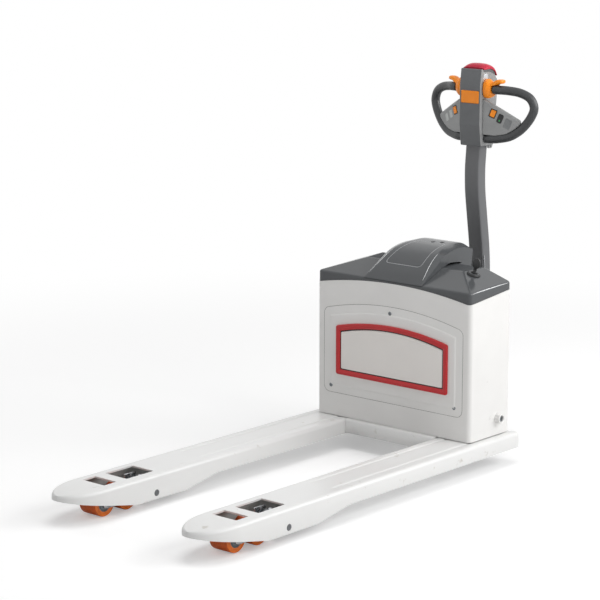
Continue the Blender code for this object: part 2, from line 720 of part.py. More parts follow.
def box_plan():
    """The battery box's outer line in plan, once round from the middle of its rear wall."""
    half, radius = BOX_HALF_WIDTH, BOX_CORNER_RADIUS
    points = [(0.0, BOX_DEPTH)]
    points += arc((-half + radius, BOX_DEPTH - radius), radius, 90, 180, 4)
    points += arc((-half + radius, radius), radius, 180, 270, 4)
    points += [(share * (half - radius), 0.0) for share in (-0.66, -0.33, 0.0, 0.33, 0.66)]
    points += arc((half - radius, radius), radius, 270, 360, 4)
    points += arc((half - radius, BOX_DEPTH - radius), radius, 0, 90, 4)
    return points


def box_top(x, y):
    """Height of the battery box's edge, arched across the front and rising to the rear."""
    share = min(1.0, abs(x) / (BOX_HALF_WIDTH - BOX_CORNER_RADIUS))
    front = BOX_FRONT_MIDDLE_TOP + (BOX_FRONT_CORNER_TOP - BOX_FRONT_MIDDLE_TOP) * share ** 2
    side = BOX_FRONT_CORNER_TOP + (BOX_REAR_TOP - BOX_FRONT_CORNER_TOP) * y / BOX_DEPTH
    return front if y < SEAT_GAP else side


def battery_box():
    plan = box_plan()
    floor = FORK_TOP + SEAT_GAP
    shape = bmesh.new()
    bottom = [shape.verts.new((x, y, floor)) for x, y in plan]
    top = [shape.verts.new((x, y, box_top(x, y))) for x, y in plan]
    for index in range(len(plan)):
        following = (index + 1) % len(plan)
        shape.faces.new((bottom[index], bottom[following], top[following], top[index]))
    shape.normal_update()
    piece = place("battery_box", mesh_of(shape, "battery_box"), WHITE_PAINT, (0.0, 0.0, 0.0), UPRIGHT)
    wall = piece.modifiers.new("Wall", "SOLIDIFY")
    wall.thickness = BOX_WALL
    wall.offset = -1.0
    wall.use_even_offset = True
    recess = flat("plate_recess", [plate_outline(-PLATE_SEAM)], 2 * PLATE_RECESS,
                  (0.0, 0.0, 0.0), turn=FACING)
    shaft_hole = rod("shaft_hole", BUSH_RADIUS + SEAT_GAP, 2 * BOX_HALF_WIDTH + 0.02,
                     (0.0, SHAFT_Y, SHAFT_Z), turn=ACROSS)
    cut(piece, recess, shaft_hole)
    for name, side in SIDES.items():
        middle = side * LEVER_X
        reach = BOX_DEPTH - SHAFT_Y
        rise = reach * math.tan(CRANK_HALF_SWING) + LEVER_ROOT_RADIUS + 0.006
        slot = span_block(f"{name}_lever_slot",
                          (middle - LEVER_THICKNESS / 2 - 0.004, BOX_DEPTH - 0.03, SHAFT_Z - rise),
                          (middle + LEVER_THICKNESS / 2 + 0.004, BOX_DEPTH + 0.03, SHAFT_Z + rise))
        cut(piece, slot)
    return piece


def plate_outline(inset=0.0):
    return arched_outline(PLATE_HALF_WIDTH, PLATE_BOTTOM, PLATE_CORNER_TOP, PLATE_MIDDLE_TOP,
                          PLATE_RADIUS, inset)


def access_plate():
    """The screwed plate in the box's front, with its pressed step."""
    levels = ((0.0, PLATE_RECESS - SEAT_GAP), (0.0, -PLATE_PROUD), (PLATE_STEP_INSET, -PLATE_PROUD),
              (PLATE_STEP_INSET + PLATE_STEP_RAMP, -PLATE_PROUD - PLATE_STEP_HEIGHT))
    rings = [[(x, y, z) for x, z in plate_outline(inset)] for inset, y in levels]
    return loft("access_plate", rings, WHITE_PAINT)


def badge_outline(inset=0.0):
    return arched_outline(BADGE_HALF_WIDTH, BADGE_BOTTOM, BADGE_CORNER_TOP, BADGE_MIDDLE_TOP,
                          BADGE_RADIUS, inset)


def badge():
    face = -PLATE_PROUD - PLATE_STEP_HEIGHT - SEAT_GAP
    frame = flat("badge_frame", [badge_outline(), badge_outline(BADGE_BAR)], BADGE_THICKNESS,
                 (0.0, face - BADGE_THICKNESS / 2, 0.0), BADGE_RED, FACING)
    round_edges(frame, 0.0018, segments=1, angle=60)
    flat("badge_panel", [badge_outline(BADGE_BAR + BADGE_PANEL_GAP)], BADGE_PANEL_THICKNESS,
         (0.0, face - BADGE_PANEL_THICKNESS / 2, 0.0), PANEL_GREY, FACING)


# ---- Top cover ---------------------------------------------------------------------------------
def cover_crease(y):
    """Where the side slope meets the flat top: its distance from the middle and its height."""
    share = y / BOX_DEPTH
    inset = interpolate([(at, run) for at, run, _ in COVER_CREASE], share)
    rise = interpolate([(at, up) for at, _, up in COVER_CREASE], share)
    return BOX_HALF_WIDTH - COVER_INSET - inset, COVER_FRONT_BAND + rise


def cover_band(y):
    return COVER_FRONT_BAND + (COVER_REAR_BAND - COVER_FRONT_BAND) * y / BOX_DEPTH


def cover_side_slope(y):
    """How steeply the cover's side falls outwards, as rise over run."""
    crease_x, crease_z = cover_crease(y)
    return (crease_z - cover_band(y)) / (BOX_HALF_WIDTH - COVER_INSET - crease_x)


def cover_edge(y):
    """Half the cover's width, rounded off at its four corners in plan."""
    half = BOX_HALF_WIDTH - COVER_INSET
    radius = BOX_CORNER_RADIUS - COVER_INSET
    from_end = min(y, BOX_DEPTH - y)
    if from_end >= radius:
        return half
    return half - radius + math.sqrt(max(0.0, radius ** 2 - (radius - from_end) ** 2))


def cover_section(y):
    edge = cover_edge(y)
    crease_x, crease_z = cover_crease(y)
    band = cover_band(y)
    crease_x = min(crease_x, edge - 0.004)
    right = [(edge, box_top(edge, y) + SEAT_GAP), (edge, band), (crease_x, crease_z)]
    row = [(-x, z) for x, z in right] + [(0.0, crease_z)] + list(reversed(right))
    return [(x, y, z) for x, z in row]


def top_cover():
    radius = BOX_CORNER_RADIUS - COVER_INSET
    breaks = [share * BOX_DEPTH for share, _, _ in COVER_CREASE[1:-1]]
    stations = [0.0, 0.3 * radius, radius, *breaks, BOX_DEPTH - radius, BOX_DEPTH - 0.3 * radius,
                BOX_DEPTH]
    shape = bmesh.new()
    rows = [[shape.verts.new(point) for point in cover_section(y)] for y in stations]
    for lower, upper in zip(rows, rows[1:]):
        for index in range(len(lower) - 1):
            shape.faces.new((lower[index], lower[index + 1], upper[index + 1], upper[index]))
    front = rows[0]
    arch = []
    for share in (0.66, 0.33, 0.0, -0.33, -0.66):
        x = share * cover_edge(0.0)
        arch.append(shape.verts.new((x, 0.0, box_top(x, 0.0) + SEAT_GAP)))
    shape.faces.new(list(reversed(front)) + list(reversed(arch)))
    shape.faces.new(rows[-1])
    shape.normal_update()
    piece = place("top_cover", mesh_of(shape, "top_cover"), GREY_COVER, (0.0, 0.0, 0.0), UPRIGHT)
    round_edges(piece, 0.0025, segments=1, angle=8)
    wall = piece.modifiers.new("Wall", "SOLIDIFY")
    wall.thickness = COVER_WALL
    wall.offset = -1.0
    wall.use_even_offset = True
    floor, normal, tilt = isolator_seat()
    spot_face = rod("isolator_spot_face", KEY_BASE_RADIUS + 2 * SEAT_GAP, KEY_BASE_HEIGHT,
                    floor + normal * KEY_BASE_HEIGHT / 2, turn=(0.0, tilt, 0.0))
    return cut(piece, spot_face)


def cover_handle():
    """The arched grip moulding on the cover, its rear leg behind the box, open for a hand."""
    back = BOX_DEPTH + HANDLE_SEAT
    crown = [(half, y, COVER_FRONT_BAND + HANDLE_SEAT + rise) for y, half, rise in HANDLE_CREST]
    rim = [(y, z - drop) for (_, y, z), drop in zip(crown, HANDLE_RIM_DROP)]
    seat = [(BOX_DEPTH + LEG_REAR, LEG_BOTTOM), (back, LEG_BOTTOM)]
    for share, _, rise in reversed(COVER_CREASE[1:]):
        seat.append((max(share * BOX_DEPTH, back if share == 1.0 else 0.0),
                     COVER_FRONT_BAND + rise + HANDLE_SEAT))
    inner = [(HANDLE_RIM - HANDLE_TAPER * y - 0.02, y, z) for y, z in seat]
    outer = [(HANDLE_RIM - HANDLE_TAPER * y, y, z) for y, z in rim + seat]
    rings = [[(-x, y, z) for x, y, z in outer], [(-x, y, z) for x, y, z in crown + inner],
             crown + inner, outer]
    piece = loft("cover_handle", rings, GREY_COVER)
    round_edges(piece, 0.002, segments=1, angle=40)
    low = COVER_FRONT_BAND + 0.02
    sill = COVER_FRONT_BAND + COVER_CREASE[-1][2] - 0.001
    gap = flat("hand_gap", [[(HAND_GAP_FRONT, low), (back - 0.0002, low), (back - 0.0002, sill),
                             (HAND_GAP_REAR, sill), (HAND_GAP_REAR, HAND_GAP_TOP - HAND_GAP_FALL),
                             (BOX_DEPTH, HAND_GAP_TOP - HAND_GAP_FALL / 2),
                             (HAND_GAP_FRONT + HAND_GAP_RAMP, HAND_GAP_TOP),
                             (HAND_GAP_FRONT, sill + 0.001)]],
               2 * HANDLE_RIM + 0.02, (0.0, 0.0, 0.0), turn=SIDEWAYS)
    recess = span_block("hand_recess", (-HAND_RECESS_HALF_WIDTH, HAND_GAP_FRONT + 0.025, sill),
                        (HAND_RECESS_HALF_WIDTH, HAND_GAP_REAR, HAND_RECESS_TOP))
    return cut(piece, gap, recess)


def isolator_seat():
    """Middle, normal and tilt of the spot-faced seat of the isolator on the side slope."""
    slope = cover_side_slope(KEY_Y)
    tilt = math.atan(slope)
    surface = cover_band(KEY_Y) + slope * (BOX_HALF_WIDTH - COVER_INSET - KEY_X)
    normal = Vector((math.sin(tilt), 0.0, math.cos(tilt)))
    return Vector((KEY_X, KEY_Y, surface)) - normal * KEY_SEAT_DEPTH, normal, tilt


def isolator():
    """The battery isolator: its socket on the cover's side slope and the turning key."""
    floor, normal, tilt = isolator_seat()
    seat = floor + normal * SEAT_GAP
    turn = (0.0, tilt, 0.0)
    barrel = 0.009
    socket = [(barrel + RUNNING_GAP, KEY_BASE_HEIGHT), (KEY_BASE_RADIUS - 0.003, KEY_BASE_HEIGHT),
              (KEY_BASE_RADIUS, KEY_BASE_HEIGHT - 0.003), (KEY_BASE_RADIUS, 0.0),
              (barrel + RUNNING_GAP, 0.0)]
    turned("isolator_base", socket, seat, KEY_BLACK, turn, closed=True)
    key = rod("isolator_key", barrel, KEY_BASE_HEIGHT + 0.004,
              seat + normal * (KEY_BASE_HEIGHT + 0.0045) / 2, KEY_BLACK, turn)
    bow_outline = oval((0.0, 0.0315), 0.0135, 0.0175, 20)
    stem_outline = [(-0.0045, -0.0005), (0.0045, -0.0005), (0.0045, 0.022), (-0.0045, 0.022)]
    level = seat + normal * (KEY_BASE_HEIGHT + 0.001)
    bow = flat("key_bow", [bow_outline], 0.006, level, turn=(math.radians(90), tilt, 0.0))
    stem = flat("key_stem", [stem_outline], 0.0055, level, turn=(math.radians(90), tilt, 0.0))
    fuse(key, stem, bow)
    return key


# ---- Inside the battery box --------------------------------------------------------------------
def power_pack():
    floor = FORK_TOP + SEAT_GAP
    front = BOX_WALL + 0.006
    back = SHAFT_Y - SHAFT_RADIUS - 0.008
    side = BOX_HALF_WIDTH - BOX_WALL - PACK_MARGIN
    split = side - PUMP_WIDTH
    battery = span_block("battery_pack", (-side, front, floor), (split - PACK_GAP, back, PACK_TOP),
                         BATTERY_BLACK)
    round_edges(battery, 0.006)
    middle = (split - PACK_GAP - side) / 2
    controller = span_block("motor_controller",
                            (middle - CONTROLLER_WIDTH / 2, front, PACK_TOP + SEAT_GAP),
                            (middle + CONTROLLER_WIDTH / 2, back - 0.01, PACK_TOP + 0.055),
                            MOTOR_GREY)
    round_edges(controller, 0.004)
    tank = span_block("pump_unit", (split, front, floor), (side, front + 0.090, TANK_TOP), DARK_STEEL)
    motor = rod("pump_motor", PUMP_MOTOR_RADIUS, 0.16,
                ((split + side) / 2, front + PUMP_MOTOR_RADIUS + 0.008, TANK_TOP + 0.07))
    return battery, controller, fuse(tank, motor)


# ---- Lift linkage ------------------------------------------------------------------------------
def clevis(name, x, pivot, pin, hub_radius, pin_depth):
    """Two cheeks and their pin, reaching from a pivot to a push-rod pin."""
    inner = EYE_THICKNESS / 2 + CLEVIS_GAP
    tools = []
    for mark in (-1, 1):
        cheek = flat(f"{name}_cheek{mark}", [capsule(pivot, hub_radius, pin, EYE_RADIUS - 0.001)],
                     CLEVIS_PLATE, (x + mark * (inner + CLEVIS_PLATE / 2), 0.0, 0.0), turn=SIDEWAYS)
        tools.append(cheek)
    tools.append(rod(f"{name}_pin", ROD_PIN_RADIUS, pin_depth, (x, *pin), turn=ACROSS, sides=12))
    return tools


def rocker_shaft():
    """Cross shaft with two long levers to the chassis and two cranks for the push rods."""
    end = BOX_HALF_WIDTH + BUSH_STAND - 0.006
    step = BOX_HALF_WIDTH - BUSH_STAND
    profile = [(0.0, end), (SHAFT_END_RADIUS, end), (SHAFT_END_RADIUS, step), (SHAFT_RADIUS, step),
               (SHAFT_RADIUS, -step), (SHAFT_END_RADIUS, -step), (SHAFT_END_RADIUS, -end), (0.0, -end)]
    piece = turned("rocker_shaft", profile, (0.0, SHAFT_Y, SHAFT_Z), HUB_STEEL, ACROSS, steps=16)
    pivot = (SHAFT_Y, SHAFT_Z)
    pin = (SHAFT_Y + ROD_STROKE / 2, SHAFT_Z - CRANK_RADIUS * math.cos(CRANK_HALF_SWING))
    tip = (LEVER_PIN_Y, LEVER_PIN_Z)
    shortest = LEVER_REACH / LEVER_LONG
    slot_start = (SHAFT_Y + LEVER_REACH * shortest, SHAFT_Z + LIFT / 2 * shortest)
    for name, side in SIDES.items():
        slot = capsule(slot_start, LEVER_PIN_RADIUS + LEVER_PIN_PLAY, tip,
                       LEVER_PIN_RADIUS + LEVER_PIN_PLAY)
        lever = flat(f"{name}_lever", [capsule(pivot, LEVER_ROOT_RADIUS, tip, LEVER_TIP_RADIUS), slot],
                     LEVER_THICKNESS, (side * LEVER_X, 0.0, 0.0), turn=SIDEWAYS)
        fuse(piece, lever, *clevis(f"{name}_crank", side * FORK_CENTRE, pivot, pin, 0.020, 0.02))
    return piece


def shaft_bush(name, side):
    """Collar on the box's side in which the rocker shaft turns."""
    inner, outer = SHAFT_END_RADIUS + SEAT_GAP, BUSH_RADIUS
    start, stop = BOX_HALF_WIDTH - BUSH_STAND + SEAT_GAP, BOX_HALF_WIDTH + BUSH_STAND
    profile = [(inner, stop), (outer - 0.001, stop), (outer, stop - 0.001), (outer, start), (inner, start)]
    if side < 0:
        profile = [(radius, -height) for radius, height in reversed(profile)]
    return turned(name, profile, (0.0, SHAFT_Y, SHAFT_Z), WHITE_PAINT, ACROSS, 24, closed=True)


def rod_pin_levels():
    """Mean height of the push rod's front and rear pins over the stroke."""
    front = ARM_PIN_Z + LUG_RADIUS * (1 + math.cos(ARM_SWING / 2)) / 2
    rear = SHAFT_Z - CRANK_RADIUS * (1 + math.cos(CRANK_HALF_SWING)) / 2
    return front, rear


def push_rod(name, side):
    """Bar from the crank to the load arm, with a slotted eye at each end."""
    x = side * FORK_CENTRE
    front_z, rear_z = rod_pin_levels()
    front_y, rear_y = ARM_PIN_Y + ROD_STROKE / 2, SHAFT_Y + ROD_STROKE / 2
    front_play = LUG_RADIUS * (1 - math.cos(ARM_SWING / 2)) / 2 + EYE_PLAY
    rear_play = CRANK_RADIUS * (1 - math.cos(CRANK_HALF_SWING)) / 2 + EYE_PLAY
    neck = 0.030
    piece = tube(name, [(x, front_y + neck * 0.6, front_z), (x, rear_y - neck * 0.6, rear_z)],
                 ROD_RADIUS, BRIGHT_STEEL)
    for label, y, z, play, direction in (("front", front_y, front_z, front_play, 1),
                                         ("rear", rear_y, rear_z, rear_play, -1)):
        blade = [(y - EYE_RADIUS, z - EYE_RADIUS), (y + EYE_RADIUS, z - EYE_RADIUS),
                 (y + EYE_RADIUS, z + EYE_RADIUS), (y - EYE_RADIUS, z + EYE_RADIUS)]
        tail = [(y, z - 0.007), (y + direction * neck, z - 0.007), (y + direction * neck, z + 0.007),
                (y, z + 0.007)]
        bore = ROD_PIN_RADIUS + EYE_PLAY
        hole = capsule((y, z - play), bore, (y, z + play), bore)
        eye = flat(f"{name}_{label}_eye", [rounded_outline(blade)], EYE_THICKNESS, (x, 0.0, 0.0),
                   turn=SIDEWAYS)
        web = flat(f"{name}_{label}_web", [tail], EYE_THICKNESS - 0.001, (x, 0.0, 0.0), turn=SIDEWAYS)
        slot = flat(f"{name}_{label}_slot", [hole], EYE_THICKNESS + 0.01, (x, 0.0, 0.0), turn=SIDEWAYS)
        fuse(piece, eye, web)
        cut(piece, slot)
    return piece


def rounded_outline(corners):
    """The four-cornered outline with its corners taken off."""
    (left, low), (right, _), (_, high), _ = corners
    centre = ((left + right) / 2, (low + high) / 2)
    points = rounded_rectangle((right - left) / 2, (high - low) / 2, (right - left) / 2 * 0.6)
    return [(centre[0] + y, centre[1] + z) for y, z in points]


def arm_pin(name, side):
    """Cross pin of the load arm, riveted over at both fork cheeks."""
    end = FORK_WIDTH / 2 + 0.0006
    profile = [(0.0, end), (ARM_PIN_RADIUS - 0.001, end), (ARM_PIN_RADIUS, end - 0.001),
               (ARM_PIN_RADIUS, -end + 0.001), (ARM_PIN_RADIUS - 0.001, -end), (0.0, -end)]
    return turned(name, profile, (side * FORK_CENTRE, ARM_PIN_Y, ARM_PIN_Z), BRIGHT_STEEL, ACROSS,
                  steps=20)


def load_arm(name, side):
    """The yoke that swings the rollers down: a bored hub, two cheeks, a lug and the bogie pin."""
    x = side * FORK_CENTRE
    pivot = (ARM_PIN_Y, ARM_PIN_Z)
    bogie = (BOGIE_Y, BOGIE_Z)
    half = ARM_SWING / 2
    lug = (ARM_PIN_Y + LUG_RADIUS * math.sin(half), ARM_PIN_Z + LUG_RADIUS * math.cos(half))
    piece = rod(name, ARM_HUB_RADIUS, 2 * ARM_HALF_WIDTH, (x, *pivot), DARK_STEEL, ACROSS)
    tools = clevis(f"{name}_lug", x, pivot, lug, ARM_HUB_RADIUS - 0.001, 0.02)
    for mark in (-1, 1):
        middle = x + mark * (ARM_PLATE_INNER + ARM_PLATE / 2)
        tools.append(flat(f"{name}_cheek{mark}", [capsule(pivot, ARM_HUB_RADIUS + 0.0015, bogie, 0.012)],
                          ARM_PLATE, (middle, 0.0, 0.0), turn=SIDEWAYS))
    tools.append(rod(f"{name}_bogie_pin", BOGIE_PIN_RADIUS, 2 * ARM_HALF_WIDTH + 0.002, (x, *bogie),
                     turn=ACROSS, sides=16))
    fuse(piece, *tools)
    bore = rod(f"{name}_bore", ARM_PIN_RADIUS + SEAT_GAP, 2 * ARM_HALF_WIDTH + 0.02, (x, *pivot),
               turn=ACROSS)
    return cut(piece, bore)


def roller_bogie(name, side):
    """Two link plates and the axles of a front and a rear roller."""
    x = side * FORK_CENTRE
    outer = BOGIE_PLATE_INNER + BOGIE_PLATE
    ends = [(BOGIE_Y + mark * ROLLER_SPACING / 2, BOGIE_Z) for mark in (-1, 1)]
    plates = []
    for mark in (-1, 1):
        outline = capsule(ends[0], 0.0135, ends[1], 0.013499)
        hole = circle((BOGIE_Y, BOGIE_Z), BOGIE_PIN_RADIUS + SEAT_GAP, 16)
        plates.append((mark, [outline, hole]))
    mark, outlines = plates[0]
    middle = BOGIE_PLATE_INNER + BOGIE_PLATE / 2
    piece = flat(name, outlines, BOGIE_PLATE, (x - middle, 0.0, 0.0), BRIGHT_STEEL, SIDEWAYS)
    other = flat(f"{name}_far_plate", plates[1][1], BOGIE_PLATE, (x + middle, 0.0, 0.0), turn=SIDEWAYS)
    axles = [rod(f"{name}_axle{index}", AXLE_RADIUS, 2 * outer, (x, *end), turn=ACROSS, sides=16)
             for index, end in enumerate(ends)]
    heads = [rod(f"{name}_head{index}{mark}", 0.0095, 0.0022, (x + mark * outer, *end), turn=ACROSS, sides=6)
             for index, end in enumerate(ends) for mark in (-1, 1)]
    return fuse(piece, *axles, other, *heads)


def load_roller(side_name, side, place_name, mark):
    """A tandem roller: polyurethane tyre on a steel core."""
    at = (side * FORK_CENTRE, BOGIE_Y + mark * ROLLER_SPACING / 2, BOGIE_Z)
    half, rim = ROLLER_HALF_WIDTH, ROLLER_CORE_RADIUS
    tyre = [(rim, half), (ROLLER_RADIUS - 0.003, half), (ROLLER_RADIUS, half - 0.004),
            (ROLLER_RADIUS, -half + 0.004), (ROLLER_RADIUS - 0.003, -half), (rim, -half)]
    turned(f"{side_name}_{place_name}_roller_tyre", tyre, at, ROLLER_ORANGE, ACROSS, 24, closed=True)
    bore = AXLE_RADIUS + SEAT_GAP
    core = [(bore, half - 0.001), (0.014, half - 0.001), (0.014, half - 0.005), (0.021, half - 0.005),
            (0.021, half - 0.001), (rim - SEAT_GAP, half - 0.001)]
    core += [(radius, -height) for radius, height in reversed(core)]
    turned(f"{side_name}_{place_name}_roller_hub", core, at, HUB_STEEL, ACROSS, 16, closed=True)


# ---- Chassis -----------------------------------------------------------------------------------
def chassis_plate():
    """Bearing plate of the drive unit, with the two ears that hold the rocker levers' pins."""
    ear_front, ear_rear = LEVER_PIN_Y - 0.026, LEVER_PIN_Y + 0.024
    round_rear = arc((0.0, STEER_Y), RING_RADIUS + RING_MARGIN, 20, 160, 10)
    outline = [(-CHASSIS_HALF_WIDTH, CHASSIS_FRONT), (CHASSIS_HALF_WIDTH, CHASSIS_FRONT),
               (CHASSIS_HALF_WIDTH, ear_front), (CHASSIS_EAR_HALF_WIDTH, ear_front),
               (CHASSIS_EAR_HALF_WIDTH, ear_rear)] + round_rear
    outline += [(-CHASSIS_EAR_HALF_WIDTH, ear_rear), (-CHASSIS_EAR_HALF_WIDTH, ear_front),
                (-CHASSIS_HALF_WIDTH, ear_front)]
    seat = circle((0.0, STEER_Y), RING_RADIUS + SEAT_GAP, 24)
    piece = flat("chassis_plate", [outline, seat], BEARING_PLATE,
                 (0.0, 0.0, PLATE_LEVEL + BEARING_PLATE / 2), DARK_STEEL)
    for name, side in SIDES.items():
        outer = side * CHASSIS_EAR_HALF_WIDTH
        inner = side * (CHASSIS_EAR_HALF_WIDTH - CHASSIS_EAR_PLATE)
        ear = flat(f"{name}_ear", [[(ear_front, PLATE_TOP - 0.002), (ear_rear, PLATE_TOP - 0.002)]
                                   + arc((LEVER_PIN_Y, LEVER_PIN_Z), 0.016, 0, -180, 8)],
                   CHASSIS_EAR_PLATE, ((outer + inner) / 2, 0.0, 0.0), turn=SIDEWAYS)
        reach = CHASSIS_EAR_HALF_WIDTH - (LEVER_X - LEVER_THICKNESS / 2) + 0.001
        pin = rod(f"{name}_lever_pin", LEVER_PIN_RADIUS, reach,
                  (side * (CHASSIS_EAR_HALF_WIDTH - 0.001 - reach / 2), LEVER_PIN_Y, LEVER_PIN_Z),
                  turn=ACROSS, sides=20)
        fuse(piece, ear, pin)
    return piece


def slewing_ring():
    inner, bottom, top = NECK_RADIUS + SEAT_GAP, PLATE_LEVEL - 0.0027, PLATE_TOP
    profile = [(inner, top), (RING_RADIUS - 0.001, top), (RING_RADIUS, top - 0.001),
               (RING_RADIUS, bottom), (inner, bottom)]
    return turned("slewing_ring", profile, (0.0, STEER_Y, 0.0), BRIGHT_STEEL, closed=True)


def lift_cylinder():
    base = PLATE_TOP + SEAT_GAP
    top = base + CYLINDER_HEIGHT
    bore = RAM_RADIUS + SEAT_GAP
    profile = [(bore, top), (CYLINDER_RADIUS - 0.002, top), (CYLINDER_RADIUS - 0.002, top - 0.018),
               (CYLINDER_RADIUS, top - 0.020), (CYLINDER_RADIUS, base), (0.0, base), (0.0, base + 0.012),
               (bore, base + 0.012)]
    return turned("lift_cylinder", profile, (0.0, CYLINDER_Y, 0.0), DARK_STEEL, steps=24, closed=True)


def lift_ram():
    base = PLATE_TOP + SEAT_GAP + 0.016
    top = BRACKET_Z - SEAT_GAP
    return rod("lift_ram", RAM_RADIUS, top - base, (0.0, CYLINDER_Y, (top + base) / 2), BRIGHT_STEEL,
               sides=20)


def guide_post(name, side):
    base = PLATE_TOP + SEAT_GAP
    profile = [(0.0, POST_TOP), (POST_RADIUS - 0.002, POST_TOP), (POST_RADIUS, POST_TOP - 0.002),
               (POST_RADIUS, base), (0.0, base)]
    return turned(name, profile, (side * POST_X, CYLINDER_Y, 0.0), BRIGHT_STEEL, steps=20)


def lift_bracket():
    """Shelf on the box's rear wall that the ram lifts, with sleeves round the guide posts."""
    back = BOX_DEPTH + SEAT_GAP
    half = POST_X + SLEEVE_RADIUS
    piece = span_block("lift_bracket", (-half, back, BRACKET_Z - 0.040),
                       (half, back + 0.006, BRACKET_Z + 0.075), DARK_STEEL)
    shelf = span_block("bracket_shelf", (-half + 0.004, back + 0.003, BRACKET_Z),
                       (half - 0.004, CYLINDER_Y + 0.024, BRACKET_Z + BRACKET_PLATE))
    gusset_outline = [(back + 0.003, BRACKET_Z + 0.004), (CYLINDER_Y + 0.018, BRACKET_Z + 0.004),
                      (CYLINDER_Y + 0.018, BRACKET_Z + 0.016), (back + 0.012, BRACKET_Z + 0.070),
                      (back + 0.003, BRACKET_Z + 0.070)]
    gussets = [flat(f"bracket_gusset{mark}", [gusset_outline], 0.006, (mark * 0.030, 0.0, 0.0),
                    turn=SIDEWAYS) for mark in (-1, 1)]
    fuse(piece, shelf, *gussets)
    for name, side in SIDES.items():
        at = (side * POST_X, CYLINDER_Y, BRACKET_Z + BRACKET_PLATE / 2)
        sleeve = rod(f"{name}_sleeve", SLEEVE_RADIUS, 2 * SLEEVE_HALF_HEIGHT, at)
        bore = rod(f"{name}_sleeve_bore", POST_RADIUS + SEAT_GAP, 0.3, at)
        fuse(piece, sleeve)
        cut(piece, bore)
    return piece


# ---- Drive unit --------------------------------------------------------------------------------
def drive_gearbox():
    """Turning flange and neck with the gear case that holds the drive wheel on one side."""
    profile = [(0.0, NECK_TOP), (NECK_RADIUS, NECK_TOP), (NECK_RADIUS, FLANGE_BOTTOM + FLANGE_THICKNESS),
               (FLANGE_RADIUS, FLANGE_BOTTOM + FLANGE_THICKNESS), (FLANGE_RADIUS, FLANGE_BOTTOM),
               (0.0, FLANGE_BOTTOM)]
    piece = turned("drive_gearbox", profile, (0.0, STEER_Y, 0.0), MOTOR_GREY)
    inner = -DRIVE_WHEEL_HALF_WIDTH - 0.004
    centre_x = inner - GEARBOX_WIDTH / 2
    wheel = (STEER_Y, DRIVE_WHEEL_RADIUS)
    case_outline = arc(wheel, GEARBOX_HALF_DEPTH, 180, 360, 12)
    case_outline += [(STEER_Y + 0.040, FLANGE_BOTTOM + 0.004), (STEER_Y - 0.040, FLANGE_BOTTOM + 0.004)]
    case = flat("gear_case", [case_outline], GEARBOX_WIDTH, (centre_x, 0.0, 0.0), turn=SIDEWAYS)
    shaft_end = DRIVE_WHEEL_HALF_WIDTH - 0.006
    shaft = rod("wheel_shaft", DRIVE_SHAFT_RADIUS, shaft_end - centre_x,
                ((shaft_end + centre_x) / 2, *wheel), turn=ACROSS, sides=20)
    return fuse(piece, case, shaft)


def drive_motor():
    base = NECK_TOP + SEAT_GAP
    top = base + MOTOR_HEIGHT
    profile = [(0.0, top), (0.034, top), (0.036, top - 0.002), (0.036, top - 0.030),
               (MOTOR_RADIUS - 0.004, top - 0.030),
               (MOTOR_RADIUS, top - 0.036), (MOTOR_RADIUS, base), (0.0, base)]
    return turned("drive_motor", profile, (0.0, STEER_Y, 0.0), MOTOR_GREY, steps=24)


def tiller_turret():
    """Cast bell over the motor, turning with the drive unit, with the tiller's ears on top."""
    base = NECK_TOP + SEAT_GAP
    radius, wall, top = TURRET_RADIUS, TURRET_WALL, TURRET_TOP
    hole = MOTOR_RADIUS + 0.002
    profile = [(0.0, top), (0.060, top), (0.082, top - 0.012), (radius - 0.002, top - 0.050),
               (radius, top - 0.075), (radius, base), (hole, base), (hole, base + wall),
               (radius - wall, base + wall), (radius - wall, top - 0.075), (0.078, top - 0.024),
               (0.0, top - 0.012)]
    piece = turned("tiller_turret", profile, (0.0, STEER_Y, 0.0), DARK_STEEL)
    outer = EAR_INNER + EAR_THICKNESS
    saddle = span_block("tiller_saddle", (-outer, STEER_Y - 0.020, TURRET_TOP - 0.006),
                        (outer, TILLER_Y + 0.018, TILLER_Z - TILLER_BOSS_RADIUS - 0.004))
    fuse(piece, saddle)
    for name, side in SIDES.items():
        outline = [(STEER_Y + 0.010, TURRET_TOP + 0.010), (TILLER_Y + 0.018, TURRET_TOP + 0.010)]
        outline += arc((TILLER_Y, TILLER_Z), 0.018, 0, 150, 8)
        ear = flat(f"{name}_tiller_ear", [outline], EAR_THICKNESS,
                   (side * (EAR_INNER + EAR_THICKNESS / 2), 0.0, 0.0), turn=SIDEWAYS)
        fuse(piece, ear)
    bore = rod("ear_bore", TILLER_PIN_RADIUS + SEAT_GAP, 0.2, (0.0, TILLER_Y, TILLER_Z), turn=ACROSS)
    return cut(piece, bore)


def tiller_pin():
    end = EAR_INNER + EAR_THICKNESS + 0.001
    profile = [(0.0, end), (TILLER_PIN_RADIUS - 0.001, end), (TILLER_PIN_RADIUS, end - 0.001),
               (TILLER_PIN_RADIUS, -end + 0.001), (TILLER_PIN_RADIUS - 0.001, -end), (0.0, -end)]
    return turned("tiller_pin", profile, (0.0, TILLER_Y, TILLER_Z), BRIGHT_STEEL, ACROSS, steps=20)


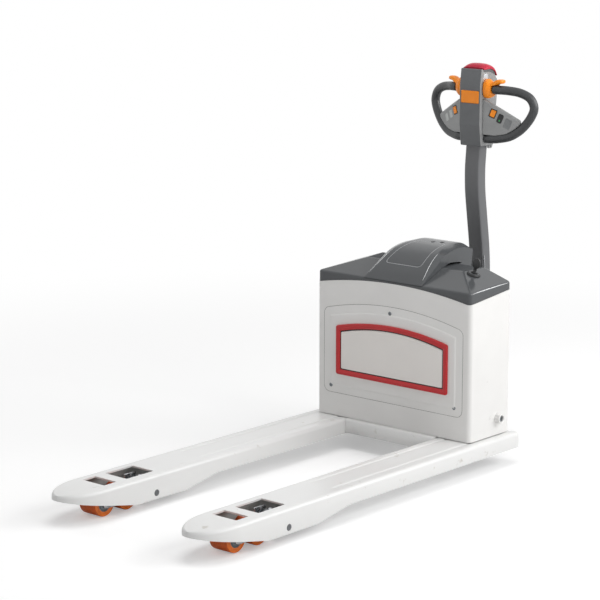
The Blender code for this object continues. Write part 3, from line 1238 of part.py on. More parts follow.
def tiller_spring(name, side):
    """Torsion spring on the tiller pin, one leg on the turret and one up beside the arm."""
    turns, per_turn = SPRING_TURNS, 9
    start = ARM_TUBE_HALF_WIDTH + 0.0022
    pitch = 2 * SPRING_WIRE + 0.0004
    path = [(side * start, TILLER_Y - SPRING_RADIUS * 1.5, TILLER_Z + 0.078),
            (side * start, TILLER_Y - SPRING_RADIUS * 1.2, TILLER_Z + 0.040)]
    for step in range(turns * per_turn + 3):
        angle = math.pi - math.tau * step / per_turn
        path.append((side * (start + pitch * step / per_turn),
                     TILLER_Y + SPRING_RADIUS * math.cos(angle),
                     TILLER_Z - SPRING_RADIUS * math.sin(angle)))
    last = path[-1]
    path.append((last[0], last[1] - 0.012, TILLER_Z - TILLER_BOSS_RADIUS + SPRING_WIRE))
    return tube(name, path, SPRING_WIRE, BRIGHT_STEEL, sides_resolution=1)


def drive_wheel():
    at = (0.0, STEER_Y, DRIVE_WHEEL_RADIUS)
    half, rim = DRIVE_WHEEL_HALF_WIDTH, DRIVE_RIM_RADIUS
    tyre = [(rim, half), (DRIVE_WHEEL_RADIUS - 0.005, half), (DRIVE_WHEEL_RADIUS, half - 0.006),
            (DRIVE_WHEEL_RADIUS, -half + 0.006), (DRIVE_WHEEL_RADIUS - 0.005, -half), (rim, -half)]
    turned("drive_tyre", tyre, at, TYRE_BLACK, ACROSS, 32, closed=True)
    bore = DRIVE_SHAFT_RADIUS + SEAT_GAP
    hub = [(bore, half - 0.004), (0.030, half - 0.004), (0.034, half - 0.016), (rim - 0.014, half - 0.016),
           (rim - 0.008, half - 0.002), (rim - SEAT_GAP, half - 0.002)]
    hub += [(radius, -height) for radius, height in reversed(hub)]
    turned("drive_hub", hub, at, HUB_STEEL, ACROSS, 16, closed=True)


# ---- Tiller ------------------------------------------------------------------------------------
def tiller_arm():
    """Bent rectangular tube from the pivot boss up to the control head."""
    top = HEAD_BOTTOM - SEAT_GAP
    spine = [(TILLER_Y - forward, TILLER_Z + share * (top - TILLER_Z)) for share, forward in ARM_BENDS]
    spine.append((TILLER_Y - ARM_TOP_FORWARD, top))
    path = smooth_path([(0.0, y, z) for y, z in spine], 2)
    front, back = [], []
    for index, point in enumerate(path):
        before, after = path[max(index - 1, 0)], path[min(index + 1, len(path) - 1)]
        along = (after - before).normalized()
        sideways = Vector((0.0, along.z, -along.y)) * ARM_TUBE_DEPTH / 2
        if index == len(path) - 1:
            sideways = Vector((0.0, ARM_TUBE_DEPTH / 2, 0.0))
        front.append((point.y - sideways.y, point.z - sideways.z))
        back.append((point.y + sideways.y, point.z + sideways.z))
    front[0], back[0] = (TILLER_Y - 0.0185, TILLER_Z), (TILLER_Y + 0.0185, TILLER_Z)
    piece = flat("tiller_arm", [front + list(reversed(back))], 2 * ARM_TUBE_HALF_WIDTH, (0.0, 0.0, 0.0),
                 ARM_GREY, SIDEWAYS)
    round_edges(piece, 0.005, segments=1, angle=50)
    boss = rod("tiller_boss", TILLER_BOSS_RADIUS, 2 * ARM_TUBE_HALF_WIDTH, (0.0, TILLER_Y, TILLER_Z),
               turn=ACROSS, sides=24)
    bore = rod("tiller_bore", TILLER_PIN_RADIUS + SEAT_GAP, 0.2, (0.0, TILLER_Y, TILLER_Z), turn=ACROSS)
    fuse(piece, boss)
    return cut(piece, bore)


def belly_place(line):
    return [(BELLY_FRONT + back, BELLY_UNDERSIDE + up) for back, up in line]


def control_head():
    outline = [(HEAD_FRONT + HEAD_DEPTH * back, HEAD_BOTTOM + HEAD_HEIGHT * up)
               for back, up in HEAD_OUTLINE]
    piece = flat("control_head", [outline], 2 * HEAD_HALF_WIDTH, (0.0, 0.0, 0.0), HEAD_GREY, SIDEWAYS)
    round_edges(piece, 0.005, segments=2, angle=50)
    gap = RUNNING_GAP
    floor = [(back + (gap if back > BELLY_BOTTOM[1][0] else -gap), up - BELLY_TRAVEL - 0.001)
             for back, up in BELLY_BOTTOM]
    far, low = BELLY_TOP[0]
    above = [(far + gap, low - BELLY_TRAVEL), (far + gap, 0.05), (-gap, 0.05)]
    pocket = flat("belly_pocket", [belly_place(floor + above)], 2 * (BELLY_HALF_WIDTH + gap),
                  (0.0, 0.0, 0.0), turn=SIDEWAYS)
    horn_back = HEAD_FRONT - HORN_PROUD + HORN_THICKNESS + HORN_TRAVEL + gap
    horn_pocket = span_block("horn_pocket",
                             (-HORN_WIDTH / 2 - gap, HEAD_FRONT - 0.02, HORN_Z - HORN_HEIGHT / 2 - gap),
                             (HORN_WIDTH / 2 + gap, horn_back, HORN_Z + HORN_HEIGHT / 2 + gap))
    return cut(piece, pocket, horn_pocket)


def belly_switch():
    piece = flat("belly_switch", [belly_place(BELLY_BOTTOM + BELLY_TOP)], 2 * BELLY_HALF_WIDTH,
                 (0.0, 0.0, 0.0), BELLY_RED, SIDEWAYS)
    return round_edges(piece, 0.003, segments=2, angle=50)


def horn_button():
    low = (-HORN_WIDTH / 2, HEAD_FRONT - HORN_PROUD, HORN_Z - HORN_HEIGHT / 2)
    high = (HORN_WIDTH / 2, HEAD_FRONT - HORN_PROUD + HORN_THICKNESS, HORN_Z + HORN_HEIGHT / 2)
    return round_edges(span_block("horn_button", low, high, CONTROL_ORANGE), 0.0025)


def grip(name, side):
    """Looped rubber-covered handle; its upper end is a spigot that the throttle turns on."""
    start = THROTTLE_OUTER + 0.002
    line = [(start, THROTTLE_Y, THROTTLE_Z), (start + 0.016, THROTTLE_Y + 0.003, THROTTLE_Z)]
    line += [(x, GRIP_PLANE_Y + GRIP_SLANT * x, z) for x, z in GRIP_LINE]
    wall = HEAD_HALF_WIDTH + SEAT_GAP
    foot = GRIP_PLANE_Y + GRIP_SLANT * GRIP_LINE[-1][0]
    line = smooth_path([(side * x, y, z) for x, y, z in line], 2)
    line.append(Vector((side * wall, foot, GRIP_LINE[-1][1])))
    piece = tube(name, line, GRIP_RADIUS, GRIP_BLACK)
    spigot = rod(name + "_spigot", SPIGOT_RADIUS, start + 0.006 - wall,
                 (side * (wall + start + 0.006) / 2, THROTTLE_Y, THROTTLE_Z), turn=ACROSS, sides=16)
    return fuse(piece, spigot)


def throttle(name, side):
    """Butterfly lobe round the grip's spigot, with its thumb tab standing outwards."""
    width = THROTTLE_OUTER - THROTTLE_INNER
    middle = side * (THROTTLE_OUTER + THROTTLE_INNER) / 2
    lobe = oval((0.0, 0.0), THROTTLE_LOBE_DEPTH, THROTTLE_LOBE_HEIGHT, 16)
    piece = flat(name, [lobe], width, (middle, THROTTLE_Y, THROTTLE_Z), CONTROL_ORANGE, SIDEWAYS)
    round_edges(piece, 0.004, segments=1, angle=50)
    tab_outline = rounded_rectangle((THUMB_TAB_REACH - THROTTLE_INNER) / 2, 0.014, 0.008)
    tab = flat(name + "_tab", [tab_outline], THUMB_TAB_THICKNESS,
               (side * (THUMB_TAB_REACH + THROTTLE_INNER) / 2, THROTTLE_Y + 0.008,
                THROTTLE_Z + THROTTLE_LOBE_HEIGHT))
    round_edges(tab, 0.002, segments=1, angle=50)
    fuse(piece, tab)
    bore = rod(name + "_bore", SPIGOT_RADIUS + RUNNING_GAP, 0.06, (middle, THROTTLE_Y, THROTTLE_Z),
               turn=ACROSS, sides=16)
    relief = rod(name + "_relief", GRIP_RADIUS + 0.0012, 0.06,
                 (side * (THROTTLE_OUTER + 0.0305), THROTTLE_Y, THROTTLE_Z), turn=ACROSS, sides=16)
    return cut(piece, bore, relief)


def on_wing(side, x, z, depth):
    """A place on a wing: x across the truck, z up, depth behind the wing's front face."""
    inwards = Vector((-side * math.sin(WING_TURN), math.cos(WING_TURN), 0.0))
    return Vector((side * x, WING_FRONT_Y + GRIP_SLANT * x, z)) + inwards * depth


def inside_of_grip(index):
    """A place on the inner side of the grip's loop, just clear of its rubber."""
    before, at, after = (Vector(point) for point in GRIP_LINE[index - 1:index + 2])
    along = (after - before).normalized()
    return at + Vector((along.y, -along.x)) * (GRIP_RADIUS + 2 * RUNNING_GAP)


def wing(name, side):
    """Slanted switch panel between the column and the grip."""
    wall = HEAD_HALF_WIDTH + SEAT_GAP
    stretch = 1 / math.cos(WING_TURN)
    corners = [(0.030, 1.130), (0.1595, 1.0575)] + [inside_of_grip(index) for index in (5, 6, 7, 8)]
    corners.append((0.030, 1.0095))
    outline = [(side * x * stretch, z) for x, z in corners]
    turn = (math.radians(90), 0.0, side * WING_TURN)
    piece = flat(name, [outline], WING_THICKNESS, on_wing(side, 0.0, 0.0, WING_THICKNESS / 2),
                 WING_GREY, turn)
    round_edges(piece, 0.003, segments=2, angle=50)
    column = span_block(name + "_column_side", (-wall, WING_FRONT_Y - 0.03, 0.95), (wall, 0.50, 1.20))
    pocket_depth = SWITCH_THICKNESS - SWITCH_PROUD + SWITCH_DEPTH_PLAY
    outside = 0.010
    pocket = block(name + "_switch_pocket",
                   (SWITCH_WIDTH + 2 * RUNNING_GAP, pocket_depth + outside, SWITCH_HEIGHT + 2 * RUNNING_GAP),
                   on_wing(side, SWITCH_X, SWITCH_Z, (pocket_depth - outside) / 2),
                   turn=(0.0, side * SWITCH_TILT, side * WING_TURN))
    return cut(piece, column, pocket)


def rocker_switch(name, side):
    at = on_wing(side, SWITCH_X, SWITCH_Z, SWITCH_THICKNESS / 2 - SWITCH_PROUD)
    turn = (0.0, side * SWITCH_TILT, side * WING_TURN)
    piece = block(name, (SWITCH_WIDTH, SWITCH_THICKNESS, SWITCH_HEIGHT), at, CONTROL_ORANGE, turn)
    return round_edges(piece, 0.0015, segments=1)


# ---- The truck ---------------------------------------------------------------------------------
def build_fork_frame():
    lift = empty_at("lift_slide", (0.0, CYLINDER_Y, BRACKET_Z), DATUM)
    carried = [cross_member(), battery_box(), access_plate(), top_cover(), cover_handle(), lift_bracket(),
               lift_ram(), *power_pack()]
    for name, side in SIDES.items():
        carried += [fork(f"{name}_fork", side), shaft_bush(f"{name}_shaft_bush", side),
                    arm_pin(f"{name}_arm_pin", side)]
    badge()
    isolator()
    carried += [bpy.data.objects[name] for name in ("badge_frame", "badge_panel", "isolator_base")]
    for piece in carried:
        carry(piece, lift)
    rocker_shaft()


def build_load_arms():
    for name, side in SIDES.items():
        push_rod(f"{name}_push_rod", side)
        pivot = empty_at(f"{name}_arm_axis", (side * FORK_CENTRE, ARM_PIN_Y, ARM_PIN_Z), DATUM)
        carry(load_arm(f"{name}_load_arm", side), pivot)
        bogie_axis = empty_at(f"{name}_bogie_axis", (side * FORK_CENTRE, BOGIE_Y, BOGIE_Z), DATUM)
        carry(roller_bogie(f"{name}_bogie", side), bogie_axis)
        for place_name, mark in (("front", -1), ("rear", 1)):
            load_roller(name, side, place_name, mark)


def build_chassis():
    chassis_plate()
    slewing_ring()
    lift_cylinder()
    for name, side in SIDES.items():
        guide_post(f"{name}_guide_post", side)


def build_drive_unit():
    steer = empty_at("steer_axis", (0.0, STEER_Y, NECK_TOP), DATUM)
    pieces = [drive_gearbox(), drive_motor(), tiller_turret(), tiller_pin()]
    pieces += [tiller_spring(f"{name}_tiller_spring", side) for name, side in SIDES.items()]
    for piece in pieces:
        carry(piece, steer)
    drive_wheel()


def build_tiller():
    pivot = empty_at("tiller_axis", (0.0, TILLER_Y, TILLER_Z), DATUM)
    pieces = [tiller_arm(), control_head(), belly_switch(), horn_button()]
    for name, side in SIDES.items():
        pieces += [grip(f"{name}_grip", side), wing(f"{name}_wing", side)]
        throttle(f"{name}_throttle", side)
        rocker_switch(f"{name}_switch", side)
    for piece in pieces:
        carry(piece, pivot)


def main():
    build_chassis()
    build_fork_frame()
    build_load_arms()
    build_drive_unit()
    build_tiller()
    bpy.context.view_layer.update()


main()
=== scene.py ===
"""Looks of a compact electric pallet truck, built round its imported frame.

Sizes are in metres and in truck coordinates: X runs across the truck with its right side at +X,
Y starts at the battery box's front face with the forks at -Y and the tiller at +Y, and Z is the
height over the floor. The function `placed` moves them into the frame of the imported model.
"""
import logging
import math
from dataclasses import dataclass
from enum import Enum
from typing import Callable, Iterable, Optional, Sequence, Union

import bmesh
import bpy
from bpy.types import Material, Mesh, MeshPolygon, NodeSocket, NodeTree, Object
from mathutils import Matrix, Vector


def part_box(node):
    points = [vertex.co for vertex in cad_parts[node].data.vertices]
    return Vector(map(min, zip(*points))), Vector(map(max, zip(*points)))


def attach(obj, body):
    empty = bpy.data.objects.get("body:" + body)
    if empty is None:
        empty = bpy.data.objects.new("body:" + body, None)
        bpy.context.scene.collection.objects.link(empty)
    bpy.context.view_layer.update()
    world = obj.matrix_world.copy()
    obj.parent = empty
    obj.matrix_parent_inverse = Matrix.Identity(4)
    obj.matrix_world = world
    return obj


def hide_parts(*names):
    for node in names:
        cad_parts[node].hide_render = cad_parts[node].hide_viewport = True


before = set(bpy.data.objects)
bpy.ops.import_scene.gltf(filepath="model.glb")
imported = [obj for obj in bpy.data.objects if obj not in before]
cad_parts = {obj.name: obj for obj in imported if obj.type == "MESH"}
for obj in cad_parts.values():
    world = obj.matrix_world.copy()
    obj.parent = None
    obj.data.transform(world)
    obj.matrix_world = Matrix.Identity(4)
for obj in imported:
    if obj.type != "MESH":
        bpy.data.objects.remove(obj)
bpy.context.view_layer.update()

Flat = tuple[float, float]
Place = tuple[float, float, float]
Colour = tuple[float, float, float]
Outline = Union[Sequence[Flat], Callable[[float], list[Flat]]]

BOX_FRONT_Y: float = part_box("battery_box")[0].y
SIDES: dict[str, int] = {"left": -1, "right": 1}
SHOWN = "_shown"
SHARP_ANGLE = 35.0
SOFTER_ANGLE = 40.0
SOFTEST_ANGLE = 50.0
WELD_DISTANCE = 0.000002
COPY_WELD_DISTANCE = 0.000005
LOG = logging.getLogger("pallet_truck")


# ---- Placing and outlines ----------------------------------------------------------------------
def placed(x: float, y: float, z: float) -> Vector:
    """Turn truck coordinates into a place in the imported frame."""
    return Vector((x, y + BOX_FRONT_Y, z))


def basis(across: Sequence[float], up: Sequence[float], through: Sequence[float],
          at: Sequence[float] = (0.0, 0.0, 0.0)) -> Matrix:
    """Make the matrix that sets an outline into the truck.

    Args:
        across: direction of the outline's first coordinate.
        up: direction of its second coordinate.
        through: direction of its thickness.
        at: the outline's zero point in truck coordinates.

    Returns:
        A 4 by 4 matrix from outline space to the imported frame.
    """
    matrix = Matrix((across, up, through)).transposed().to_4x4()
    matrix.translation = placed(*at)
    return matrix


def facing(at: Sequence[float] = (0.0, 0.0, 0.0)) -> Matrix:
    """Outline in X and Z, thickness along Y."""
    return basis((1, 0, 0), (0, 0, 1), (0, 1, 0), at)


def sideways(at: Sequence[float] = (0.0, 0.0, 0.0)) -> Matrix:
    """Outline in Y and Z, thickness along X."""
    return basis((0, 1, 0), (0, 0, 1), (1, 0, 0), at)


def lying(at: Sequence[float] = (0.0, 0.0, 0.0)) -> Matrix:
    """Outline in X and Y, thickness along Z."""
    return basis((1, 0, 0), (0, 1, 0), (0, 0, 1), at)


def arc(centre: Flat, radius: float, start: float, end: float, steps: int) -> list[Flat]:
    """Points on an arc.

    Args:
        centre: middle of the arc.
        radius: its radius.
        start: first angle in degrees.
        end: last angle in degrees.
        steps: number of chords.

    Returns:
        The points from start to end.
    """
    angles = [math.radians(start + (end - start) * step / steps) for step in range(steps + 1)]
    return [(centre[0] + radius * math.cos(angle), centre[1] + radius * math.sin(angle))
            for angle in angles]


def rectangle(half_width: float, half_height: float, centre: Flat = (0.0, 0.0)) -> list[Flat]:
    """The four corners of a rectangle round its middle.

    Args:
        half_width: half its width.
        half_height: half its height.
        centre: its middle.

    Returns:
        The closed outline.
    """
    x, y = centre
    return [(x - half_width, y - half_height), (x + half_width, y - half_height),
            (x + half_width, y + half_height), (x - half_width, y + half_height)]


def soft_rectangle(half_width: float, half_height: float, radius: float,
                   centre: Flat = (0.0, 0.0), steps: int = 5) -> Callable[[float], list[Flat]]:
    """A rounded rectangle that can be drawn at any inset.

    Args:
        half_width: half its width.
        half_height: half its height.
        radius: radius of its corners.
        centre: its middle.
        steps: chords for each corner.

    Returns:
        A function from an inset to the closed outline.
    """
    def outline(inset: float) -> list[Flat]:
        """The outline at one inset.

        Args:
            inset: how far inside it is drawn.

        Returns:
            The closed outline.
        """
        turn = max(radius - inset, 0.0003)
        x, y = half_width - inset - turn, half_height - inset - turn
        points: list[Flat] = []
        for at_x, at_y, start in ((x, y, 0), (-x, y, 90), (-x, -y, 180), (x, -y, 270)):
            points += arc((centre[0] + at_x, centre[1] + at_y), turn, start, start + 90, steps)
        return points
    return outline


def rounded(corners: Sequence[Flat], radius: float, steps: int = 5) -> list[Flat]:
    """Round the corners of a closed outline.

    Args:
        corners: the outline's corners.
        radius: how far from a corner its rounding starts, at most.
        steps: chords for each corner.

    Returns:
        The rounded outline.
    """
    points: list[Flat] = []
    for index, corner in enumerate(corners):
        at = Vector(corner)
        before = Vector(corners[index - 1]) - at
        after = Vector(corners[(index + 1) % len(corners)]) - at
        reach = min(radius, 0.45 * before.length, 0.45 * after.length)
        start, end = at + before.normalized() * reach, at + after.normalized() * reach
        for step in range(steps + 1):
            point = bent(start, at, end, step / steps)
            points.append((point.x, point.y))
    return points


def bent(start: Vector, corner: Vector, end: Vector, share: float) -> Vector:
    """The point at a share of the way round a softened corner."""
    return start * (1 - share) ** 2 + corner * 2 * share * (1 - share) + end * share ** 2


def shrunk(outline: Sequence[Flat], inset: float) -> list[Flat]:
    """Move a closed outline inwards.

    Args:
        outline: its points, in either direction round.
        inset: how far each side moves in.

    Returns:
        As many points as before.
    """
    if abs(inset) < 1e-7:
        return list(outline)
    count = len(outline)
    area = sum(outline[i - 1][0] * outline[i][1] - outline[i][0] * outline[i - 1][1]
               for i in range(count))
    turn = 1.0 if area > 0 else -1.0
    moved: list[Flat] = []
    for index in range(count):
        here = Vector(outline[index])
        first = (here - Vector(outline[index - 1])).normalized()
        second = (Vector(outline[(index + 1) % count]) - here).normalized()
        normal = Vector((-(first.y + second.y), first.x + second.x)) * turn
        if normal.length < 1e-9:
            normal = Vector((-first.y, first.x)) * turn
        normal.normalize()
        lean = max(0.5, abs(normal.dot(Vector((-first.y, first.x)))))
        point = here + normal * inset / lean
        moved.append((point.x, point.y))
    return moved


def smooth_path(knots: Sequence[Sequence[float]], steps: int) -> list[Vector]:
    """Points along a smooth curve through the given ones.

    Args:
        knots: the places the curve passes through.
        steps: chords between two of them.

    Returns:
        The curve's points, both ends among them.
    """
    ends = [2 * Vector(knots[0]) - Vector(knots[1])] + [Vector(knot) for knot in knots]
    ends.append(2 * ends[-1] - ends[-2])
    path: list[Vector] = []
    for index in range(1, len(ends) - 2):
        before, start, end, after = ends[index - 1:index + 3]
        for step in range(steps):
            share = step / steps
            path.append(0.5 * (2 * start + (end - before) * share
                               + (2 * before - 5 * start + 4 * end - after) * share ** 2
                               + (3 * start - before - 3 * end + after) * share ** 3))
    path.append(ends[-2])
    return path


def between(points: Sequence[Flat], value: float) -> float:
    """Straight-line value between the points of a rising list.

    Args:
        points: pairs of a place and its value.
        value: the place to look up.

    Returns:
        The value there; the ends' values go on beyond them.
    """
    for (start, first), (end, second) in zip(points, points[1:]):
        if value <= end:
            return first + (second - first) * max(0.0, (value - start) / (end - start))
    return points[-1][1]


def ease(value: float) -> float:
    """Smooth step from 0 to 1."""
    share = min(1.0, max(0.0, value))
    return share * share * (3 - 2 * share)


def both_ends(line: Sequence[Flat]) -> list[Flat]:
    """A turned profile with its other half mirrored in the middle."""
    return [*line, *((radius, -height) for radius, height in reversed(line))]


# ---- Meshes ------------------------------------------------------------------------------------
class Shell:
    """Closed skins gathered into one mesh."""

    def __init__(self) -> None:
        """Start an empty mesh."""
        self.shape = bmesh.new()

    def band(self, lower: Sequence[bmesh.types.BMVert], upper: Sequence[bmesh.types.BMVert],
             closed: bool = True) -> None:
        """Join two rows of corners with faces.

        Args:
            lower: the first row.
            upper: the second row, as long as the first.
            closed: join the last corners to the first ones too.
        """
        count = len(lower)
        for index in range(count if closed else count - 1):
            after = (index + 1) % count
            self.shape.faces.new((lower[index], lower[after], upper[after], upper[index]))

    def loft(self, rings: Sequence[Sequence[Sequence[float]]], caps: bool = True) -> "Shell":
        """Skin closed rings that have the same number of points.

        Args:
            rings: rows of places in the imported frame.
            caps: close the first and last ring with a face, or join them where False.

        Returns:
            This shell.
        """
        rows = [[self.shape.verts.new(point) for point in ring] for ring in rings]
        for lower, upper in zip(rows, rows[1:] if caps else rows[1:] + rows[:1]):
            self.band(lower, upper)
        if caps:
            self.shape.faces.new(list(reversed(rows[0])))
            self.shape.faces.new(rows[-1])
        return self

    def slab(self, outline: Outline, thickness: float, edge: float, place: Matrix,
             steps: int = 4) -> "Shell":
        """A plate with rounded edges, centred on its outline's plane.

        Args:
            outline: its closed outline.
            thickness: its whole thickness.
            edge: radius of its edges.
            place: matrix from outline space to the frame.
            steps: chords round an edge.

        Returns:
            This shell.
        """
        half = thickness / 2
        levels = []
        for step in range(steps + 1):
            angle = math.pi / 2 * step / steps
            levels.append((edge * (1 - math.sin(angle)), -half + edge * (1 - math.cos(angle))))
        return self.relief(outline, both_ends(levels), place)

    def relief(self, outline: Outline, levels: Sequence[Flat], place: Matrix,
               caps: bool = True) -> "Shell":
        """A plate whose edge follows levels of inset and height, or a frame of that section.

        Args:
            outline: a closed outline, or what draws it for each inset.
            levels: inset and height of each step; a frame's go all the way round its section.
            place: matrix from outline space to the frame.
            caps: False for a frame, whose last level joins its first.

        Returns:
            This shell.
        """
        rings = []
        for inset, height in levels:
            ring = outline(inset) if callable(outline) else shrunk(outline, inset)
            rings.append([place @ Vector((u, v, height)) for u, v in ring])
        return self.loft(rings, caps)

    def turned(self, profile: Sequence[Flat], axis: Matrix, steps: int = 48,
               closed: bool = False) -> "Shell":
        """A turned solid.

        Args:
            profile: radius and height of its outer line; a closed one has a bore.
            axis: matrix whose third direction is the axis.
            steps: sides round it.
            closed: join the profile's last point to its first.

        Returns:
            This shell.
        """
        turns = [math.tau * step / steps for step in range(steps)]
        rings = [[axis @ Vector((radius * math.cos(turn), radius * math.sin(turn), height))
                  for turn in turns] for radius, height in profile]
        return self.loft(rings, caps=not closed)

    def tube(self, path: Sequence[Vector], radius: float, sides: int = 20,
             flare: Optional[Callable[[float], float]] = None) -> "Shell":
        """A round bar along a path.

        Args:
            path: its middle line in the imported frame.
            radius: its radius.
            sides: sides round it.
            flare: scale of the radius for each share of the length.

        Returns:
            This shell.
        """
        rings = []
        side = None
        for index, point in enumerate(path):
            before, after = path[max(index - 1, 0)], path[min(index + 1, len(path) - 1)]
            along = (Vector(after) - Vector(before)).normalized()
            if side is None:
                side = along.orthogonal().normalized()
            side = (side - along * side.dot(along)).normalized()
            other = along.cross(side)
            reach = radius * (flare(index / (len(path) - 1)) if flare else 1.0)
            rings.append([Vector(point) + (side * math.cos(math.tau * step / sides)
                                           + other * math.sin(math.tau * step / sides)) * reach
                          for step in range(sides)])
        return self.loft(rings)

    def piece(self, name: str, angle: float = SHARP_ANGLE) -> Object:
        """Make the object, with its faces pointing outwards.

        Args:
            name: the object's name.
            angle: edges sharper than this stay sharp, in degrees.

        Returns:
            The new object, at the origin.
        """
        bmesh.ops.remove_doubles(self.shape, verts=self.shape.verts, dist=WELD_DISTANCE)
        bmesh.ops.recalc_face_normals(self.shape, faces=self.shape.faces)
        return as_object(name, as_mesh(name, self.shape), angle)


def as_mesh(name: str, shape: bmesh.types.BMesh) -> Mesh:
    """Turn a shape under construction into a mesh and let it go.

    Args:
        name: the mesh's name.
        shape: the shape, which is freed.

    Returns:
        The new mesh.
    """
    mesh = bpy.data.meshes.new(name)
    shape.to_mesh(mesh)
    shape.free()
    return mesh


def linked(name: str, data: Optional[bpy.types.ID]) -> Object:
    """Link a new object that holds the given data.

    Args:
        name: the object's name.
        data: what it holds, such as a mesh or a light.

    Returns:
        The new object.
    """
    item = bpy.data.objects.new(name, data)
    bpy.context.scene.collection.objects.link(item)
    return item


def as_object(name: str, mesh: Mesh, angle: float = SHARP_ANGLE) -> Object:
    """Link a mesh as a smoothly shaded object at the origin.

    Args:
        name: the object's name.
        mesh: its mesh.
        angle: edges sharper than this stay sharp, in degrees.

    Returns:
        The new object.
    """
    mesh.shade_smooth()
    mesh.set_sharp_from_angle(angle=math.radians(angle))
    return linked(name, mesh)


def baked(item: Object, angle: float = SHARP_ANGLE) -> Object:
    """Apply an object's modifiers.

    Args:
        item: the object with live modifiers, which is taken away.
        angle: edges sharper than this stay sharp, in degrees.

    Returns:
        A plain object of the same name.
    """
    bpy.context.view_layer.update()
    graph = bpy.context.evaluated_depsgraph_get()
    mesh = bpy.data.meshes.new_from_object(item.evaluated_get(graph))
    name = item.name
    bpy.data.objects.remove(item, do_unlink=True)
    mesh.name = name
    return as_object(name, mesh, angle)


class Joining(Enum):
    """How solids are put together."""

    CUT = "DIFFERENCE"
    FUSE = "UNION"


def combined(item: Object, others: Iterable[Object], joining: Joining,
             angle: float = SHARP_ANGLE) -> Object:
    """Cut solids out of a piece, or fuse them to it.

    Args:
        item: the piece.
        others: the solids, which are taken away afterwards.
        joining: what to do with them.
        angle: edges sharper than this stay sharp, in degrees.

    Returns:
        The piece as a plain mesh.
    """
    others = list(others)
    for other in others:
        modifier = item.modifiers.new(other.name, "BOOLEAN")
        modifier.operation = joining.value
        modifier.solver = "EXACT"
        modifier.object = other
    done = baked(item, angle)
    for other in others:
        bpy.data.objects.remove(other, do_unlink=True)
    return done


def carved(item: Object, cutters: Iterable[Object], angle: float = SHARP_ANGLE) -> Object:
    """Cut solids out of a piece."""
    return combined(item, cutters, Joining.CUT, angle)


def prism(name: str, outline: Sequence[Flat], low: float, high: float, place: Matrix) -> Object:
    """A straight-sided solid between two heights over an outline."""
    return Shell().relief(outline, ((0.0, low), (0.0, high)), place).piece(name)


def drum(name: str, radius: float, low: float, high: float, axis: Matrix,
         steps: int = 48) -> Object:
    """A round cutter between two heights on an axis."""
    return Shell().turned(((radius, low), (radius, high)), axis, steps).piece(name)


def merged_copy(node: str, edge: float = 0.0, angle: float = SHARP_ANGLE) -> Object:
    """A welded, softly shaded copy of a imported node.

    Args:
        node: the node's name.
        edge: width of the rounding on its sharp edges, or 0 for none.
        angle: edges sharper than this stay sharp, in degrees.

    Returns:
        The new object.
    """
    shape = bmesh.new()
    shape.from_mesh(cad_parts[node].data)
    bmesh.ops.remove_doubles(shape, verts=shape.verts, dist=COPY_WELD_DISTANCE)
    bmesh.ops.dissolve_limit(shape, angle_limit=math.radians(0.3), verts=shape.verts,
                             edges=shape.edges)
    item = as_object(node + SHOWN, as_mesh(node + SHOWN, shape), angle)
    if edge <= 0.0:
        return item
    rounding = item.modifiers.new("Edges", "BEVEL")
    rounding.width = edge
    rounding.segments = 2
    rounding.limit_method = "ANGLE"
    rounding.angle_limit = math.radians(50)
    rounding.use_clamp_overlap = True
    return baked(item, 60.0)


# ---- Finishes ----------------------------------------------------------------------------------
def wired(tree: NodeTree, kind: str, inputs: dict[Union[str, int], object],
          output: Union[str, int] = 0, **settings: object) -> NodeSocket:
    """Add a node to a tree.

    Args:
        tree: the tree.
        kind: the node's type.
        inputs: its inputs, each a socket to link, several of them, or a plain value.
        output: which of its outputs to return.
        settings: its other properties.

    Returns:
        The chosen output.
    """
    node = tree.nodes.new(kind)
    for key, value in settings.items():
        setattr(node, key, value)
    for key, value in inputs.items():
        for each in value if isinstance(value, list) else [value]:
            if isinstance(each, NodeSocket):
                tree.links.new(each, node.inputs[key])
            else:
                node.inputs[key].default_value = each
    return node.outputs[output]


class Surface(Enum):
    """How a material's surface is worked; the values set its grain.

    Each value holds the blotches' scale and strength, the grain's scale and depth, the spread of
    the roughness, and how much the pattern is stretched along X, Y and Z.
    """

    PAINT = (9.0, 0.018, 420.0, 0.00004, 0.06, (1.0, 1.0, 1.0))
    GLOSSY_MOULDING = (14.0, 0.03, 900.0, 0.00002, 0.05, (1.0, 1.0, 1.0))
    TEXTURED_MOULDING = (16.0, 0.07, 1500.0, 0.00016, 0.10, (1.0, 1.0, 1.0))
    RUBBER = (20.0, 0.10, 700.0, 0.00022, 0.12, (1.0, 1.0, 1.0))
    POLYURETHANE = (30.0, 0.14, 300.0, 0.00012, 0.14, (6.0, 1.0, 1.0))
    BRUSHED = (40.0, 0.10, 500.0, 0.00006, 0.16, (0.12, 1.0, 1.0))
    CAST = (22.0, 0.12, 260.0, 0.00035, 0.14, (1.0, 1.0, 1.0))


def linear(colour: Sequence[float]) -> tuple[float, float, float, float]:
    """Turn a screen colour of 0 to 255 into a shader's colour.

    Args:
        colour: its red, green and blue.

    Returns:
        The colour, with an alpha of 1.
    """
    red, green, blue = ((share / 12.92 if share <= 0.04045 else ((share + 0.055) / 1.055) ** 2.4)
                        for share in (channel / 255 for channel in colour))
    return (red, green, blue, 1.0)


def scaled(colour: Sequence[float], factor: float) -> tuple[float, float, float, float]:
    """A shader colour made lighter or darker."""
    red, green, blue = (min(1.0, channel * factor) for channel in colour[:3])
    return (red, green, blue, 1.0)


